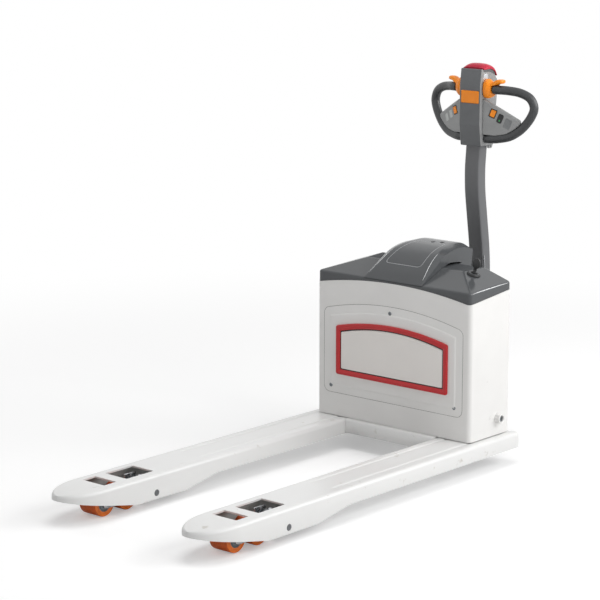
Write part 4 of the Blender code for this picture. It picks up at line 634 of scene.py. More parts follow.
@dataclass(frozen=True)
class Finish:
    """One finish: its colour, gloss, surface grain and wear."""

    name: str
    slot: str
    colour: Colour
    roughness: float
    surface: Surface
    metallic: float = 0.0
    coat: float = 0.0
    shine: float = 0.5
    wear: float = 0.0
    wear_colour: Colour = (120, 118, 114)
    # Darkening towards the floor, in patches: its strength, colour, and the heights where it is
    # full and where it ends.
    floor_darkening: float = 0.0
    wear_scale: float = 24.0
    floor_darkening_colour: Colour = (150, 146, 138)
    darkening_full_below: float = 0.02
    darkening_gone_above: float = 0.11
    coat_roughness: float = 0.12
    grain_strength: float = 0.6

    def material(self) -> Material:
        """The finish's node material, made once."""
        found = bpy.data.materials.get(self.name)
        return found if found else self._build()

    def _build(self) -> Material:
        """Build the material: blotches, wear, grain and uneven gloss over one base colour.

        Returns:
            The new material.
        """
        blotch_scale, blotch, grain_scale, depth, spread, stretch = self.surface.value
        material = bpy.data.materials.new(self.name)
        material.use_nodes = True
        tree = material.node_tree
        shader = tree.nodes["Principled BSDF"]
        for socket, value in (("Metallic", self.metallic), ("Coat Weight", self.coat),
                              ("Specular IOR Level", self.shine),
                              ("Coat Roughness", self.coat_roughness)):
            shader.inputs[socket].default_value = value
        own = wired(tree, "ShaderNodeTexCoord", {}, "Object")
        mapped = wired(tree, "ShaderNodeMapping", {"Scale": stretch, "Vector": own})
        base = linear(self.colour)
        blotches = self._noise(tree, mapped, blotch_scale, 5.0)
        tint = self._mix(tree, self._range(tree, blotches, 0.3, 0.7, 0.0, 1.0),
                         scaled(base, 1.0 - blotch), scaled(base, 1.0 + blotch))
        uneven = self._range(tree, self._noise(tree, mapped, blotch_scale * 3.1, 6.0), 0.25, 0.75,
                             max(0.02, self.roughness - spread / 2), self.roughness + spread / 2)
        if self.wear > 0.0:
            rubbed = self._noise(tree, mapped, self.wear_scale, 9.0)
            mask = self._range(tree, rubbed, 0.70 - 0.12 * self.wear, 0.74, 0.0, 0.8)
            tint = self._mix(tree, mask, tint, linear(self.wear_colour))
        # Darker towards the floor: a warm grey mixed in below the given heights, in patches.
        if self.floor_darkening > 0.0:
            height = wired(tree, "ShaderNodeSeparateXYZ", {"Vector": own}, "Z")
            low = self._range(tree, height, self.darkening_full_below, self.darkening_gone_above, self.floor_darkening, 0.0)
            patchy = wired(tree, "ShaderNodeMath", {0: low, 1: blotches}, operation="MULTIPLY")
            tint = self._mix(tree, patchy, tint, linear(self.floor_darkening_colour))
        grain = self._noise(tree, mapped, grain_scale, 3.0)
        bump = wired(tree, "ShaderNodeBump", {"Strength": self.grain_strength, "Distance": depth,
                                              "Height": grain}, "Normal")
        for socket, value in (("Base Color", tint), ("Roughness", uneven), ("Normal", bump)):
            tree.links.new(value, shader.inputs[socket])
        return material

    @staticmethod
    def _noise(tree: NodeTree, mapped: NodeSocket, scale: float, detail: float) -> NodeSocket:
        """A noise texture's value on the piece's own coordinates."""
        return wired(tree, "ShaderNodeTexNoise", {"Scale": scale, "Detail": detail,
                                                  "Roughness": 0.55, "Vector": mapped})

    @staticmethod
    def _range(tree: NodeTree, value: NodeSocket, low: float, high: float, first: float,
               last: float) -> NodeSocket:
        """Map a value from low..high to first..last."""
        return wired(tree, "ShaderNodeMapRange", {"From Min": low, "From Max": high, "Value": value,
                                                  "To Min": first, "To Max": last}, "Result")

    @staticmethod
    def _mix(tree: NodeTree, factor: NodeSocket, first: Union[NodeSocket, Sequence[float]],
             second: Sequence[float]) -> NodeSocket:
        """Mix a plain colour over another one or over a node's colour."""
        return wired(tree, "ShaderNodeMix", {0: factor, 6: first, 7: second}, 2, data_type="RGBA")


WHITE_PAINT = Finish("gloss_white_enamel", "white_paint", (232, 231, 229), 0.30, Surface.PAINT,
                     coat=0.25, floor_darkening=0.10)
FORK_PAINT = Finish("fork_white_enamel", "white_paint", (233, 233, 232), 0.34, Surface.PAINT,
                    coat=0.2, wear=0.35, wear_colour=(196, 192, 184), floor_darkening=0.22)
# Darker copy of the fork's white paint for the channel's inner skin: painted shade; its wear
# patches are random.
FORK_INSIDE_SHADE = Finish("fork_inside_primer", "white_paint", (176, 175, 173), 0.55, Surface.PAINT,
                     shine=0.3, wear=0.5, wear_colour=(150, 146, 140))
# Mid grey for the ring in the access plate's seam: painted shade.
SEAM_SHADE_GREY = Finish("plate_seal_grey", "panel_grey", (118, 116, 114), 0.60, Surface.RUBBER)
BADGE_RED = Finish("red_frame_moulding", "badge_red", (192, 30, 36), 0.30,
                   Surface.GLOSSY_MOULDING)
PANEL_GREY = Finish("satin_panel_grey", "panel_grey", (238, 234, 230), 0.36, Surface.PAINT)
COVER_GREY = Finish("glossy_grey_moulding", "grey_cover", (84, 86, 88), 0.16,
                    Surface.GLOSSY_MOULDING, coat=0.10, shine=0.24)
CROWN_GREY = Finish("grained_cover_crown", "grey_cover", (76, 78, 80), 0.62,
                    Surface.TEXTURED_MOULDING, shine=0.06)
# Light grey for the raised edge beads: painted highlights along the rolled edges.
BEAD_HIGHLIGHT_GREY = Finish("cover_bead_grey", "grey_cover", (224, 226, 228), 0.22,
                   Surface.GLOSSY_MOULDING)
# Lighter grey for the ring along the crest's engraved line: a painted highlight.
GROOVE_HIGHLIGHT_GREY = Finish("crest_inlay_grey", "grey_cover", (150, 152, 154), 0.30,
                    Surface.GLOSSY_MOULDING)
KEY_BLACK = Finish("black_key_moulding", "key_black", (30, 31, 32), 0.38,
                   Surface.TEXTURED_MOULDING)
BLACK_TRIM = Finish("black_trim_moulding", "key_black", (24, 25, 27), 0.30,
                    Surface.TEXTURED_MOULDING)
DARK_STEEL = Finish("black_phosphated_steel", "dark_steel", (66, 67, 69), 0.46, Surface.CAST,
                    metallic=0.3, wear=0.3)
BRIGHT_STEEL = Finish("ground_bright_steel", "bright_steel", (190, 192, 194), 0.26,
                      Surface.BRUSHED, metallic=1.0)
PIN_STEEL = Finish("oiled_pin_steel", "bright_steel", (112, 114, 116), 0.40, Surface.BRUSHED,
                   metallic=0.7, wear=0.3, wear_colour=(60, 60, 60))
HUB_STEEL = Finish("machined_hub_steel", "hub_steel", (128, 133, 137), 0.36, Surface.BRUSHED,
                   metallic=0.9)
ROLLER_ORANGE = Finish("orange_polyurethane", "roller_orange", (214, 96, 34), 0.38,
                       Surface.POLYURETHANE, wear=0.35, wear_colour=(150, 72, 36))
ROLLER_SIDE = Finish("orange_roller_side", "roller_orange", (240, 122, 40), 0.36,
                     Surface.POLYURETHANE)
BATTERY_BLACK = Finish("ribbed_battery_case", "battery_black", (38, 38, 40), 0.55,
                       Surface.TEXTURED_MOULDING)
MOTOR_GREY = Finish("cast_motor_housing", "motor_grey", (92, 93, 96), 0.48, Surface.CAST,
                    metallic=0.4, wear=0.25)
TYRE_BLACK = Finish("black_drive_tyre", "tyre_black", (44, 44, 45), 0.74, Surface.RUBBER,
                    wear=0.4, wear_colour=(92, 90, 88))
ARM_GREY = Finish("arm_grey_powder_coat", "arm_grey", (96, 97, 99), 0.40, Surface.PAINT,
                  shine=0.6)
HEAD_GREY = Finish("satin_head_moulding", "head_grey", (100, 102, 104), 0.46,
                   Surface.TEXTURED_MOULDING)
BELLY_RED = Finish("red_belly_moulding", "belly_red", (188, 14, 52), 0.32,
                   Surface.GLOSSY_MOULDING, coat=0.1, shine=0.35)
CONTROL_ORANGE = Finish("orange_control_moulding", "control_orange", (255, 144, 18), 0.36,
                        Surface.TEXTURED_MOULDING)
GRIP_RUBBER = Finish("soft_grip_rubber", "grip_black", (44, 46, 48), 0.42, Surface.RUBBER,
                     shine=0.7)
WING_GREY = Finish("satin_wing_moulding", "wing_grey", (146, 147, 147), 0.42,
                   Surface.TEXTURED_MOULDING)
RIDGE_GREY = Finish("satin_ridge_cover", "wing_grey", (184, 187, 185), 0.36,
                    Surface.TEXTURED_MOULDING)
BLANK_GREY = Finish("satin_blank_cover", "wing_grey", (118, 120, 121), 0.40,
                    Surface.TEXTURED_MOULDING)
SILVER_TRIM = Finish("silver_trim", "wing_grey", (206, 210, 214), 0.24, Surface.BRUSHED,
                     metallic=0.6)
GAUGE_GREEN = Finish("charge_lamp_green", "panel_grey", (58, 150, 84), 0.22,
                     Surface.GLOSSY_MOULDING)


def two_toned(item: Object, first: Finish, second: Finish,
              takes_second: Callable[[MeshPolygon], bool]) -> Object:
    """Give an object two finishes.

    Args:
        item: the object, without materials.
        first: its main finish.
        second: the other one.
        takes_second: tells of a face whether it takes the second finish.

    Returns:
        The same object.
    """
    for finish in (first, second):
        item.data.materials.append(finish.material())
    for face in item.data.polygons:
        face.material_index = int(takes_second(face))
    return item


@dataclass(frozen=True)
class Part:
    """A finished object with the body it rides on and its main finish."""

    item: Object
    body: str
    finish: Finish

    @property
    def nodes(self) -> list[str]:
        """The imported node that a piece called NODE_shown stands for, if it has such a name."""
        return [self.item.name.removesuffix(SHOWN)] if self.item.name.endswith(SHOWN) else []


def hand_over(part: Part) -> None:
    """Dress a finished piece and give it to the frame.

    Args:
        part: the piece, at the origin, with its body and finish.
    """
    piece = part.item
    if not piece.data.materials:
        piece.data.materials.append(part.finish.material())
    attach(piece, part.body)
    if part.nodes:
        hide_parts(*part.nodes)
    LOG.info("%s: %d faces on %s", piece.name, len(piece.data.polygons), part.body)


class SubAssembly:
    """A group of pieces that is built first and dressed afterwards."""

    def build(self) -> list[Part]:
        """Make the group's pieces; each sub-assembly has its own way."""
        raise NotImplementedError

    def dress(self, parts: Sequence[Part]) -> None:
        """Give every piece that `build` returned its finish and its place in the frame."""
        for part in parts:
            hand_over(part)

    @staticmethod
    def copies(body: str, *rows: tuple) -> list[Part]:
        """Welded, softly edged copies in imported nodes' places.

        Args:
            body: the body they move with.
            rows: for each its node and finish, then its edge rounding and sharp angle, or less.

        Returns:
            The copies.
        """
        return [Part(merged_copy(node, *how), body, finish) for node, finish, *how in rows]


# ---- Repeated pieces ---------------------------------------------------------------------------
class Growth:
    """A Geometry Nodes tree with named inputs, used for pieces that repeat."""

    def __init__(self, name: str, **asks: str) -> None:
        """Start a tree.

        Args:
            name: the tree's name.
            asks: kind of each input after the geometry; the finish is always the last.
        """
        self.group = bpy.data.node_groups.new(name, "GeometryNodeTree")
        faces = self.group.interface
        for side in ("INPUT", "OUTPUT"):
            faces.new_socket("Geometry", in_out=side, socket_type="NodeSocketGeometry")
        self.sockets: dict[str, str] = {}
        for label, kind in {**asks, "Finish": "Material"}.items():
            socket = faces.new_socket(label, in_out="INPUT", socket_type=f"NodeSocket{kind}")
            self.sockets[label] = socket.identifier
        self.entry = self.group.nodes.new("NodeGroupInput")
        self.exit = self.group.nodes.new("NodeGroupOutput")

    def asked(self, name: str) -> NodeSocket:
        """An input of the tree by its name."""
        return self.entry.outputs[name]

    def add(self, kind: str, inputs: dict[str, object], **settings: object) -> NodeSocket:
        """Add a node.

        Args:
            kind: the node's type, without its first two words.
            inputs: its inputs: sockets, plain values or names of the tree's inputs.
            settings: its other properties.

        Returns:
            Its first output.
        """
        found = {key: self.asked(value) if isinstance(value, str) else value
                 for key, value in inputs.items()}
        return wired(self.group, f"GeometryNode{kind}", found, **settings)

    def close(self, instance: NodeSocket) -> "Growth":
        """Set the instance on every point of the input, realize it and set its finish.

        Args:
            instance: what repeats; it is turned where the tree has an input called Turn.

        Returns:
            This tree.
        """
        seats = self.add("MeshToPoints", {"Mesh": "Geometry"})
        turn = {"Rotation": "Turn"} if "Turn" in self.sockets else {}
        rows = self.add("InstanceOnPoints", {"Points": seats, "Instance": instance, **turn})
        real = self.add("RealizeInstances", {"Geometry": rows})
        done = self.add("SetMaterial", {"Geometry": real, "Material": "Finish"})
        self.group.links.new(done, self.exit.inputs[0])
        return self

    def grow(self, name: str, places: Sequence[Vector], finish: Finish,
             **values: object) -> Object:
        """Run the tree on a set of points.

        Args:
            name: the new piece's name.
            places: the points it starts from.
            finish: the piece's finish.
            values: a value for each of the other inputs.

        Returns:
            The grown piece as a plain mesh.
        """
        mesh = bpy.data.meshes.new(name)
        mesh.from_pydata([tuple(place) for place in places], [], [])
        item = linked(name, mesh)
        modifier = item.modifiers.new("Growth", "NODES")
        modifier.node_group = self.group
        for label, value in {**values, "Finish": finish.material()}.items():
            modifier[self.sockets[label]] = value
        return baked(item)


def screw_tree() -> Growth:
    """Domed screws with a crossed recess, one on each point of the input.

    Returns:
        The tree.
    """
    tree = Growth("plate_screws", Turn="Rotation", Head="Float", Dome="Vector", Slot="Vector")
    ball = tree.add("MeshUVSphere", {"Segments": 28, "Rings": 14, "Radius": "Head"})
    dome = tree.add("Transform", {"Geometry": ball, "Scale": "Dome"})
    bar = tree.add("MeshCube", {"Size": "Slot"})
    low = tree.add("Transform", {"Geometry": bar, "Translation": (0.0, 0.0, 0.0021)})
    across = tree.add("Transform", {"Geometry": low, "Rotation": (0.0, 0.0, math.radians(90))})
    return tree.close(tree.add("MeshBoolean", {"Mesh 1": dome, "Mesh 2": [low, across]},
                               operation="DIFFERENCE"))


def bolt_tree() -> Growth:
    """Hexagon bolts with washers, one on each point of the input.

    Returns:
        The tree.
    """
    tree = Growth("hexagon_bolts", Turn="Rotation", Head="Float", Height="Float", Washer="Float")
    washer = tree.add("MeshCylinder", {"Vertices": 28, "Depth": 0.0012, "Radius": "Washer"})
    plain = tree.add("MeshCylinder", {"Vertices": 6, "Radius": "Head", "Depth": "Height"})
    head = tree.add("Transform", {"Geometry": plain, "Translation": (0.0, 0.0, 0.0024)})
    return tree.close(tree.add("JoinGeometry", {"Geometry": [washer, head]}))


def row_tree(name: str, shape: str, sizes: dict[str, object], **asks: str) -> Growth:
    """A straight row of plain shapes from each point of the input.

    Args:
        name: the tree's name.
        shape: the kind of node that makes the shape.
        sizes: that node's inputs.
        asks: kind of each of the tree's inputs that the shape needs.

    Returns:
        The tree.
    """
    tree = Growth(name, Count="Int", Pitch="Vector", **asks)
    one = tree.add(shape, sizes)
    line = tree.add("MeshLine", {"Count": "Count", "Offset": "Pitch"}, mode="OFFSET")
    return tree.close(tree.add("InstanceOnPoints", {"Points": line, "Instance": one}))


@dataclass
class Fasteners:
    """The trees for everything that repeats, made once and shared."""

    screws: Growth
    bolts: Growth
    fins: Growth
    ribs: Growth

    @classmethod
    def ready(cls) -> "Fasteners":
        """Build the four trees.

        Returns:
            The set of trees.
        """
        fins = row_tree("cooling_fins", "MeshCylinder", {
            "Vertices": 72, "Radius": "Radius", "Depth": "Thickness"}, Radius="Float",
            Thickness="Float")
        ribs = row_tree("straight_ribs", "MeshCube", {"Size": "Size"}, Size="Vector")
        return cls(screw_tree(), bolt_tree(), fins, ribs)

    def bolt_circle(self, name: str, axis: Matrix, radius: float, count: int, head: float,
                    finish: Finish, start: float = 0.0) -> Object:
        """Bolts round an axis.

        Args:
            name: the piece's name.
            axis: matrix whose third direction the bolts point along.
            radius: radius of their circle.
            count: how many there are.
            head: radius of a head's corners.
            finish: their finish.
            start: angle of the first one in degrees.

        Returns:
            The bolts as one piece.
        """
        places = [axis @ Vector((x, y, 0.0)) for x, y in
                  arc((0.0, 0.0), radius, start, start + 360 - 360 / count, count - 1)]
        return self.bolts.grow(name, places, finish, Turn=axis.to_euler(), Head=head,
                               Height=head * 0.85, Washer=head * 1.25)


# ---- Fork frame --------------------------------------------------------------------------------
@dataclass
class ForkFrame(SubAssembly):
    """Both forks, the member between them, the arm pins and the bushes of the cross shaft."""

    width: float = 0.160
    centre: float = 0.2625
    tip: float = -1.220
    nose_tip: float = -1.2179
    top: float = 0.100
    plate: float = 0.005
    edge: float = 0.012
    nose_length: float = 0.1379
    nose_drop: float = 0.007
    nose_bottom: float = 0.076
    skid_bottom: float = 0.0245
    root_bottom: float = 0.050
    rear: float = 0.2224
    rib_offset: float = 0.043
    rib_half_width: float = 0.008
    rib_depth: float = 0.0022
    rib_start: float = 0.565
    heel: float = -0.014
    window_half_width: float = 0.046
    pin_y: float = -0.8865
    pin_z: float = 0.0436
    pin_radius: float = 0.010
    shaft_y: float = 0.1475
    shaft_z: float = 0.155
    crank_slot: Flat = (0.022, 0.037)
    bush_start: float = 0.2946
    bush_end: float = 0.3303
    bush_inner: float = 0.0103
    bush_outer: float = 0.016
    windows: tuple[Flat, ...] = ((0.1495, 0.2006), (0.242, 0.355))
    window_corner: float = 0.004
    cut_low: float = 0.080
    cut_high: float = 0.120
    dark_ahead_of: float = -0.70
    skin_gap: float = 0.0004
    nose_angles: tuple[float, ...] = (2.5, 7, 12, 17, 22, 27, 32, 37, 42, 47, 52, 57, 62, 68, 74,
                                      82, 90)
    reaches: tuple[float, ...] = (0.200, 0.250, 0.300, 0.380, 0.463, 0.530, 0.565, 0.570, 0.575,
                                  0.580, 0.585, 0.600, 0.800, 1.000)

    def build(self) -> list[Part]:
        """Make the fork frame's pieces.

        Returns:
            The pieces, ready to be dressed.
        """
        parts = self.copies("fork_frame", ("cross_member", FORK_PAINT, 0.001))
        for name, side in SIDES.items():
            for make, node, finish in ((self._fork, "fork", FORK_PAINT),
                                       (self._pin, "arm_pin", PIN_STEEL),
                                       (self._bush, "shaft_bush", WHITE_PAINT)):
                parts.append(Part(make(f"{name}_{node}{SHOWN}", side), "fork_frame", finish))
        return parts

    def _half(self, y: float, inset: float) -> float:
        """Half the fork's width at y, drawn inset.

        Args:
            y: the station along the truck.
            inset: how far inside the outer skin it lies.

        Returns:
            The half width.
        """
        length = self.nose_length - inset
        into = min(1.0, max(0.0, self.nose_tip + inset + length - y) / length)
        return (self.width / 2 - inset) * math.sqrt(max(0.0, 1.0 - into * into))

    def _level(self, y: float) -> float:
        """Height of the load surface at y.

        Args:
            y: the station along the truck.

        Returns:
            The height.
        """
        into = max(0.0, self.nose_tip + self.nose_length - y) / self.nose_length
        heel_drop = 0.0005 * ease((y - self.heel + 0.003) / 0.003)
        return self.top - self.nose_drop * into ** 2 - heel_drop

    def _foot(self, y: float) -> float:
        """Height of the fork's lower edge at y.

        Args:
            y: the station along the truck.

        Returns:
            The height.
        """
        return between(((self.tip, self.nose_bottom), (self.tip + 0.250, self.skid_bottom),
                        (self.tip + 0.463, self.skid_bottom), (self.tip + 0.600, self.root_bottom),
                        (self.rear, self.root_bottom)), y)

    def _section(self, y: float, middle: float, inset: float, foot: float) -> list[Vector]:
        """The fork's closed cross-section at y.

        Args:
            y: the station.
            middle: X of the fork's middle line.
            inset: how far inside the outer skin it lies.
            foot: height of its lower edge.

        Returns:
            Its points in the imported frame.
        """
        half = max(self._half(y, inset), 0.0012)
        top = self._level(y) - inset
        edge = min(self.edge - 0.6 * inset, 0.9 * half, 0.8 * (top - foot))
        inner = half - edge
        corner = arc((-inner, top - edge), edge, 180, 90, 7)
        depth = self.rib_depth * ease((y - self.tip - self.rib_start) / 0.020)
        flat_top = []
        for step in range(1, 72):
            x = -inner + 2 * inner * step / 72
            off = abs(abs(x) - self.rib_offset) / self.rib_half_width
            flat_top.append((x, top - depth * ease(2 - 2 * off)))
        outline = [(-half, foot)] + corner + flat_top + [(-x, z) for x, z in reversed(corner)]
        outline.append((half, foot))
        return [placed(middle + x, y, z) for x, z in outline]

    def _fork(self, name: str, side: int) -> Object:
        """The folded channel with its rounded nose, pressed ribs and two roller windows.

        Args:
            name: the piece's name.
            side: -1 for the left one, 1 for the right one.

        Returns:
            The finished object.
        """
        middle = side * self.centre
        nose = [self.nose_tip + self.nose_length * (1 - math.cos(math.radians(angle)))
                for angle in self.nose_angles]
        body = [self.tip + reach for reach in self.reaches]
        body += [self.heel - 0.0031, self.heel, 0.10]
        fork = Shell().loft([self._section(y, middle, 0.0, self._foot(y))
                             for y in nose + body + [self.rear]]).piece(name)
        inside = [self.nose_tip + self.plate + 0.0006, *(y + self.plate for y in nose[1:-1]),
                  *body, self.rear - self.plate]
        cutters = [Shell().loft([self._section(y, middle, self.plate, self._foot(y) - 0.03)
                                 for y in inside]).piece(name + "_hollow")]
        openings = [rectangle(self.window_half_width, (far - near) / 2,
                              (middle, self.tip + (near + far) / 2)) for near, far in self.windows]
        openings.append(rectangle(*self.crank_slot, (middle, self.shaft_y - 0.003)))
        cutters += [prism(f"{name}_opening_{index}", rounded(opening, self.window_corner),
                          self.cut_low, self.cut_high, lying())
                    for index, opening in enumerate(openings)]
        cutters.insert(-1, drum(name + "_pin", self.pin_radius + 0.0003, -0.1, 0.1,
                                sideways((middle, self.pin_y, self.pin_z))))

        def is_inside(face: MeshPolygon) -> bool:
            """Whether a face belongs to the channel's inner skin near the rollers, which is
            coloured darker as painted shade.

            Args:
                face: the face to judge.

            Returns:
                True where it does.
            """
            y = face.center.y - BOX_FRONT_Y
            inner = abs(face.center.x - middle) < self._half(y, self.plate) + self.skin_gap
            under = face.center.z < self._level(y) - self.plate + self.skin_gap
            return inner and under and y < self.dark_ahead_of

        # The inner skin near the rollers takes the darker colour: painted shade inside the channel.
        return two_toned(carved(fork, cutters), FORK_PAINT, FORK_INSIDE_SHADE, is_inside)

    def _pin(self, name: str, side: int) -> Object:
        """Riveted cross pin with a turned groove and a centre mark in each end.

        Args:
            name: the piece's name.
            side: -1 for the left one, 1 for the right one.

        Returns:
            The finished object.
        """
        end, reach = self.pin_radius, self.width / 2 + 0.0006
        line = [(0.0004, reach - 0.0012), (0.0018, reach - 0.0004), (0.0055, reach - 0.0004),
                (0.0060, reach), (end - 0.0014, reach), (end - 0.0003, reach - 0.0006),
                (end, reach - 0.0016)]
        axis = sideways((side * self.centre, self.pin_y, self.pin_z))
        return Shell().turned(both_ends(line), axis).piece(name)

    def _bush(self, name: str, side: int) -> Object:
        """Collar of the cross shaft on the battery box's side, with a turned lip.

        Args:
            name: the piece's name.
            side: -1 for the left one, 1 for the right one.

        Returns:
            The finished object.
        """
        inner, outer, start, end = self.bush_inner, self.bush_outer, self.bush_start, self.bush_end
        line = [(inner, start), (inner, end - 0.0012), (inner + 0.0012, end),
                (outer - 0.0014, end), (outer - 0.0003, end - 0.0008), (outer, end - 0.0018),
                (outer, end - 0.0060), (outer - 0.0005, end - 0.0064),
                (outer - 0.0005, end - 0.0072), (outer, end - 0.0076), (outer, start)]
        line = [(radius, side * height) for radius, height in line]
        axis = sideways((0.0, self.shaft_y, self.shaft_z))
        return Shell().turned(line, axis, 56, closed=True).piece(name)


# ---- Battery box -------------------------------------------------------------------------------
def arched(half_width: float, bottom: float, corner_top: float, middle_top: float, radius: float,
           inset: float = 0.0) -> list[Flat]:
    """A rounded rectangle whose top edge bows up.

    Args:
        half_width: half its width.
        bottom: height of its lower edge.
        corner_top: height of its top edge over the corners.
        middle_top: height of its top edge in the middle.
        radius: radius of its corners.
        inset: how far inside it the outline is drawn.

    Returns:
        The closed outline.
    """
    half, low = half_width - inset, bottom + inset
    side_top, middle = corner_top - inset, middle_top - inset
    turn = max(radius - inset, 0.004)
    right = arc((half - turn, low + turn), turn, -90, 0, 10)
    right += arc((half - turn, side_top - turn), turn, 0, 78, 10)
    start = right[-1]
    arch = []
    for step in range(1, 24):
        share = 1 - step / 12
        arch.append((start[0] * share, start[1] + (middle - start[1]) * (1 - share * share)))
    return right + arch + [(-x, z) for x, z in reversed(right)]


@dataclass
class BatteryBox(SubAssembly):
    """The painted box with its access plate, screws and the framed blank panel."""

    fasteners: Fasteners
    half_width: float = 0.3123
    depth: float = 0.2126
    corner: float = 0.015
    floor: float = 0.1003
    wall: float = 0.004
    front_corner_top: float = 0.541
    front_middle_top: float = 0.569
    rear_top: float = 0.563
    plate: tuple[float, float, float, float, float] = (0.282, 0.178, 0.460, 0.493, 0.022)
    plate_seam: float = 0.0012
    step_inset: float = 0.025
    badge: tuple[float, float, float, float, float] = (0.227, 0.243, 0.406, 0.432, 0.008)
    badge_bar: float = 0.017
    badge_seat: float = -0.0033
    badge_depth: float = 0.006
    screws: tuple[Flat, ...] = ((-0.009, 0.472), (-0.253, 0.201), (0.251, 0.206))
    shaft_y: float = 0.1475
    shaft_z: float = 0.155
    shaft_bore: float = 0.0163
    lever_x: float = 0.125
    lever_slot: Flat = (0.009, 0.083)

    def build(self) -> list[Part]:
        """Make the box, its plate, the badge frame and the screws.

        Returns:
            The pieces, ready to be dressed.
        """
        screws = self.fasteners.screws.grow(
            "plate_screws", [placed(x, -0.0006, z) for x, z in self.screws], HUB_STEEL,
            Turn=basis((1, 0, 0), (0, 0, 1), (0, -1, 0)).to_euler(), Head=0.0066,
            Dome=(1.0, 1.0, 0.38), Slot=(0.0082, 0.0022, 0.0026))
        return [Part(item, "fork_frame", finish) for item, finish in (
            (self._box(), WHITE_PAINT), (self._plate(), WHITE_PAINT), (self._frame(), BADGE_RED),
            # The black ring in the badge frame's gap is painted shade.
            (self._gasket(), BLACK_TRIM), (self._panel(), PANEL_GREY),
            # The grey ring in the plate's seam is painted shade.
            (self._plate_seal(), SEAM_SHADE_GREY), (screws, HUB_STEEL))]

    def _plan(self, inset: float) -> list[Flat]:
        """The box's outline in plan, with points along the front for its arch.

        Args:
            inset: how far inside the outer skin it lies.

        Returns:
            The closed outline.
        """
        half, low, high = self.half_width - inset, inset, self.depth - inset
        turn = max(self.corner - inset, 0.003)
        front = [(-half + turn + (2 * half - 2 * turn) * step / 28, low) for step in range(1, 28)]
        points = arc((-half + turn, low + turn), turn, 180, 270, 9) + front
        points += arc((half - turn, low + turn), turn, 270, 360, 9)
        points += arc((half - turn, high - turn), turn, 0, 90, 9)
        return points + arc((-half + turn, high - turn), turn, 90, 180, 9)

    def _rim(self, x: float, y: float) -> float:
        """Height of the box's top edge.

        Args:
            x: the place across the truck.
            y: the station along the truck.

        Returns:
            The height.
        """
        if y > 0.0062:
            return between(((0.0, self.front_corner_top), (self.depth, self.rear_top)), y)
        share = min(1.0, abs(x) / (self.half_width - self.corner))
        rise = self.front_middle_top - self.front_corner_top
        return self.front_corner_top + rise * (1 - share * share)

    def _box(self) -> Object:
        """The open-topped shell with the plate's recess and the shaft's holes.

        Returns:
            The finished object.
        """
        outer, inner = self._plan(0.0), self._plan(self.wall)
        rims = [[placed(x, y, self._rim(x, y)) for x, y in plan] for plan in (outer, inner)]
        feet = [[placed(x, y, self.floor + 0.001) for x, y in plan] for plan in (outer, inner)]
        box = Shell().loft([feet[0], *rims, feet[1]], caps=False).piece("battery_box_shown")
        cutters = [prism("plate_recess", arched(*self.plate, inset=-self.plate_seam), -0.01, 0.0022,
                         facing()),
                   drum("shaft_bore", self.shaft_bore, -0.4, 0.4,
                        sideways((0.0, self.shaft_y, self.shaft_z)))]
        for name, side in SIDES.items():
            slot = rectangle(*self.lever_slot, (side * self.lever_x, self.shaft_z))
            cutters.append(prism(f"{name}_slot", rounded(slot, 0.003), self.depth - 0.03,
                                 self.depth + 0.03, facing()))
        return carved(box, cutters)

    @staticmethod
    def _banded(name: str, shape: Sequence[float], levels: Sequence[Flat], caps: bool = True,
                angle: float = SHARP_ANGLE) -> Object:
        """A bowed plate or frame whose section follows levels of inset and depth.

        Args:
            name: the piece's name.
            shape: sizes of its outline, as `arched` takes them.
            levels: inset and Y of each step of the section.
            caps: False for a frame, whose last level joins its first.
            angle: edges sharper than this stay sharp, in degrees.

        Returns:
            The finished object.
        """
        rings = [[placed(x, y, z) for x, z in arched(*shape, inset=inset)] for inset, y in levels]
        return Shell().loft(rings, caps).piece(name, angle)

    def _plate(self) -> Object:
        """The access plate with its folded rim and softly pressed step.

        Returns:
            The finished object.
        """
        levels = [(0.0004, 0.0019), (0.0, 0.0014), (0.0, 0.0), (0.0003, -0.0004),
                  (0.0009, -0.0005), (self.step_inset - 0.0010, -0.0005),
                  (self.step_inset, -0.0006)]
        for step in range(1, 7):
            share = step / 7
            levels.append((self.step_inset + 0.0045 * share, -0.0006 - 0.0023 * ease(share)))
        levels += [(self.step_inset + 0.0050, -0.0030), (self.step_inset + 0.012, -0.0030)]
        return self._banded("access_plate_shown", self.plate, levels, angle=SOFTEST_ANGLE)

    def _frame(self) -> Object:
        """The moulded frame round the panel, rounded outside and bevelled inwards.

        Returns:
            The finished object.
        """
        back, bar = self.badge_seat, self.badge_bar
        face = back - self.badge_depth
        levels = [(0.0, back), (0.0, face + 0.0022), (0.0005, face + 0.0010),
                  (0.0014, face + 0.0003), (0.0028, face), (bar - 0.0060, face),
                  (bar - 0.0048, face + 0.0004), (bar, face + 0.0034), (bar, back)]
        return self._banded("badge_frame_shown", self.badge, levels, caps=False)

    def _plate_seal(self) -> Object:
        """The grey ring in the seam round the access plate, painted shade that shows as a fine dark
        line.

        Returns:
            The finished object.
        """
        levels = [(-0.0011, 0.0010), (-0.0011, -0.0001), (-0.0008, -0.0003), (0.0, -0.0003),
                  (0.0001, 0.0010)]
        return self._banded("plate_seal", self.plate, levels, caps=False)

    def _gasket(self) -> Object:
        """The dark ring in the gap inside the red frame, painted shade that shows as a line there.

        Returns:
            The finished object.
        """
        back, bar = self.badge_seat, self.badge_bar
        levels = [(bar + 0.0002, back), (bar + 0.0002, back - 0.0012),
                  (bar + 0.0008, back - 0.0018), (bar + 0.0028, back - 0.0018),
                  (bar + 0.0033, back - 0.0012), (bar + 0.0033, back)]
        return self._banded("badge_gasket", self.badge, levels, caps=False)

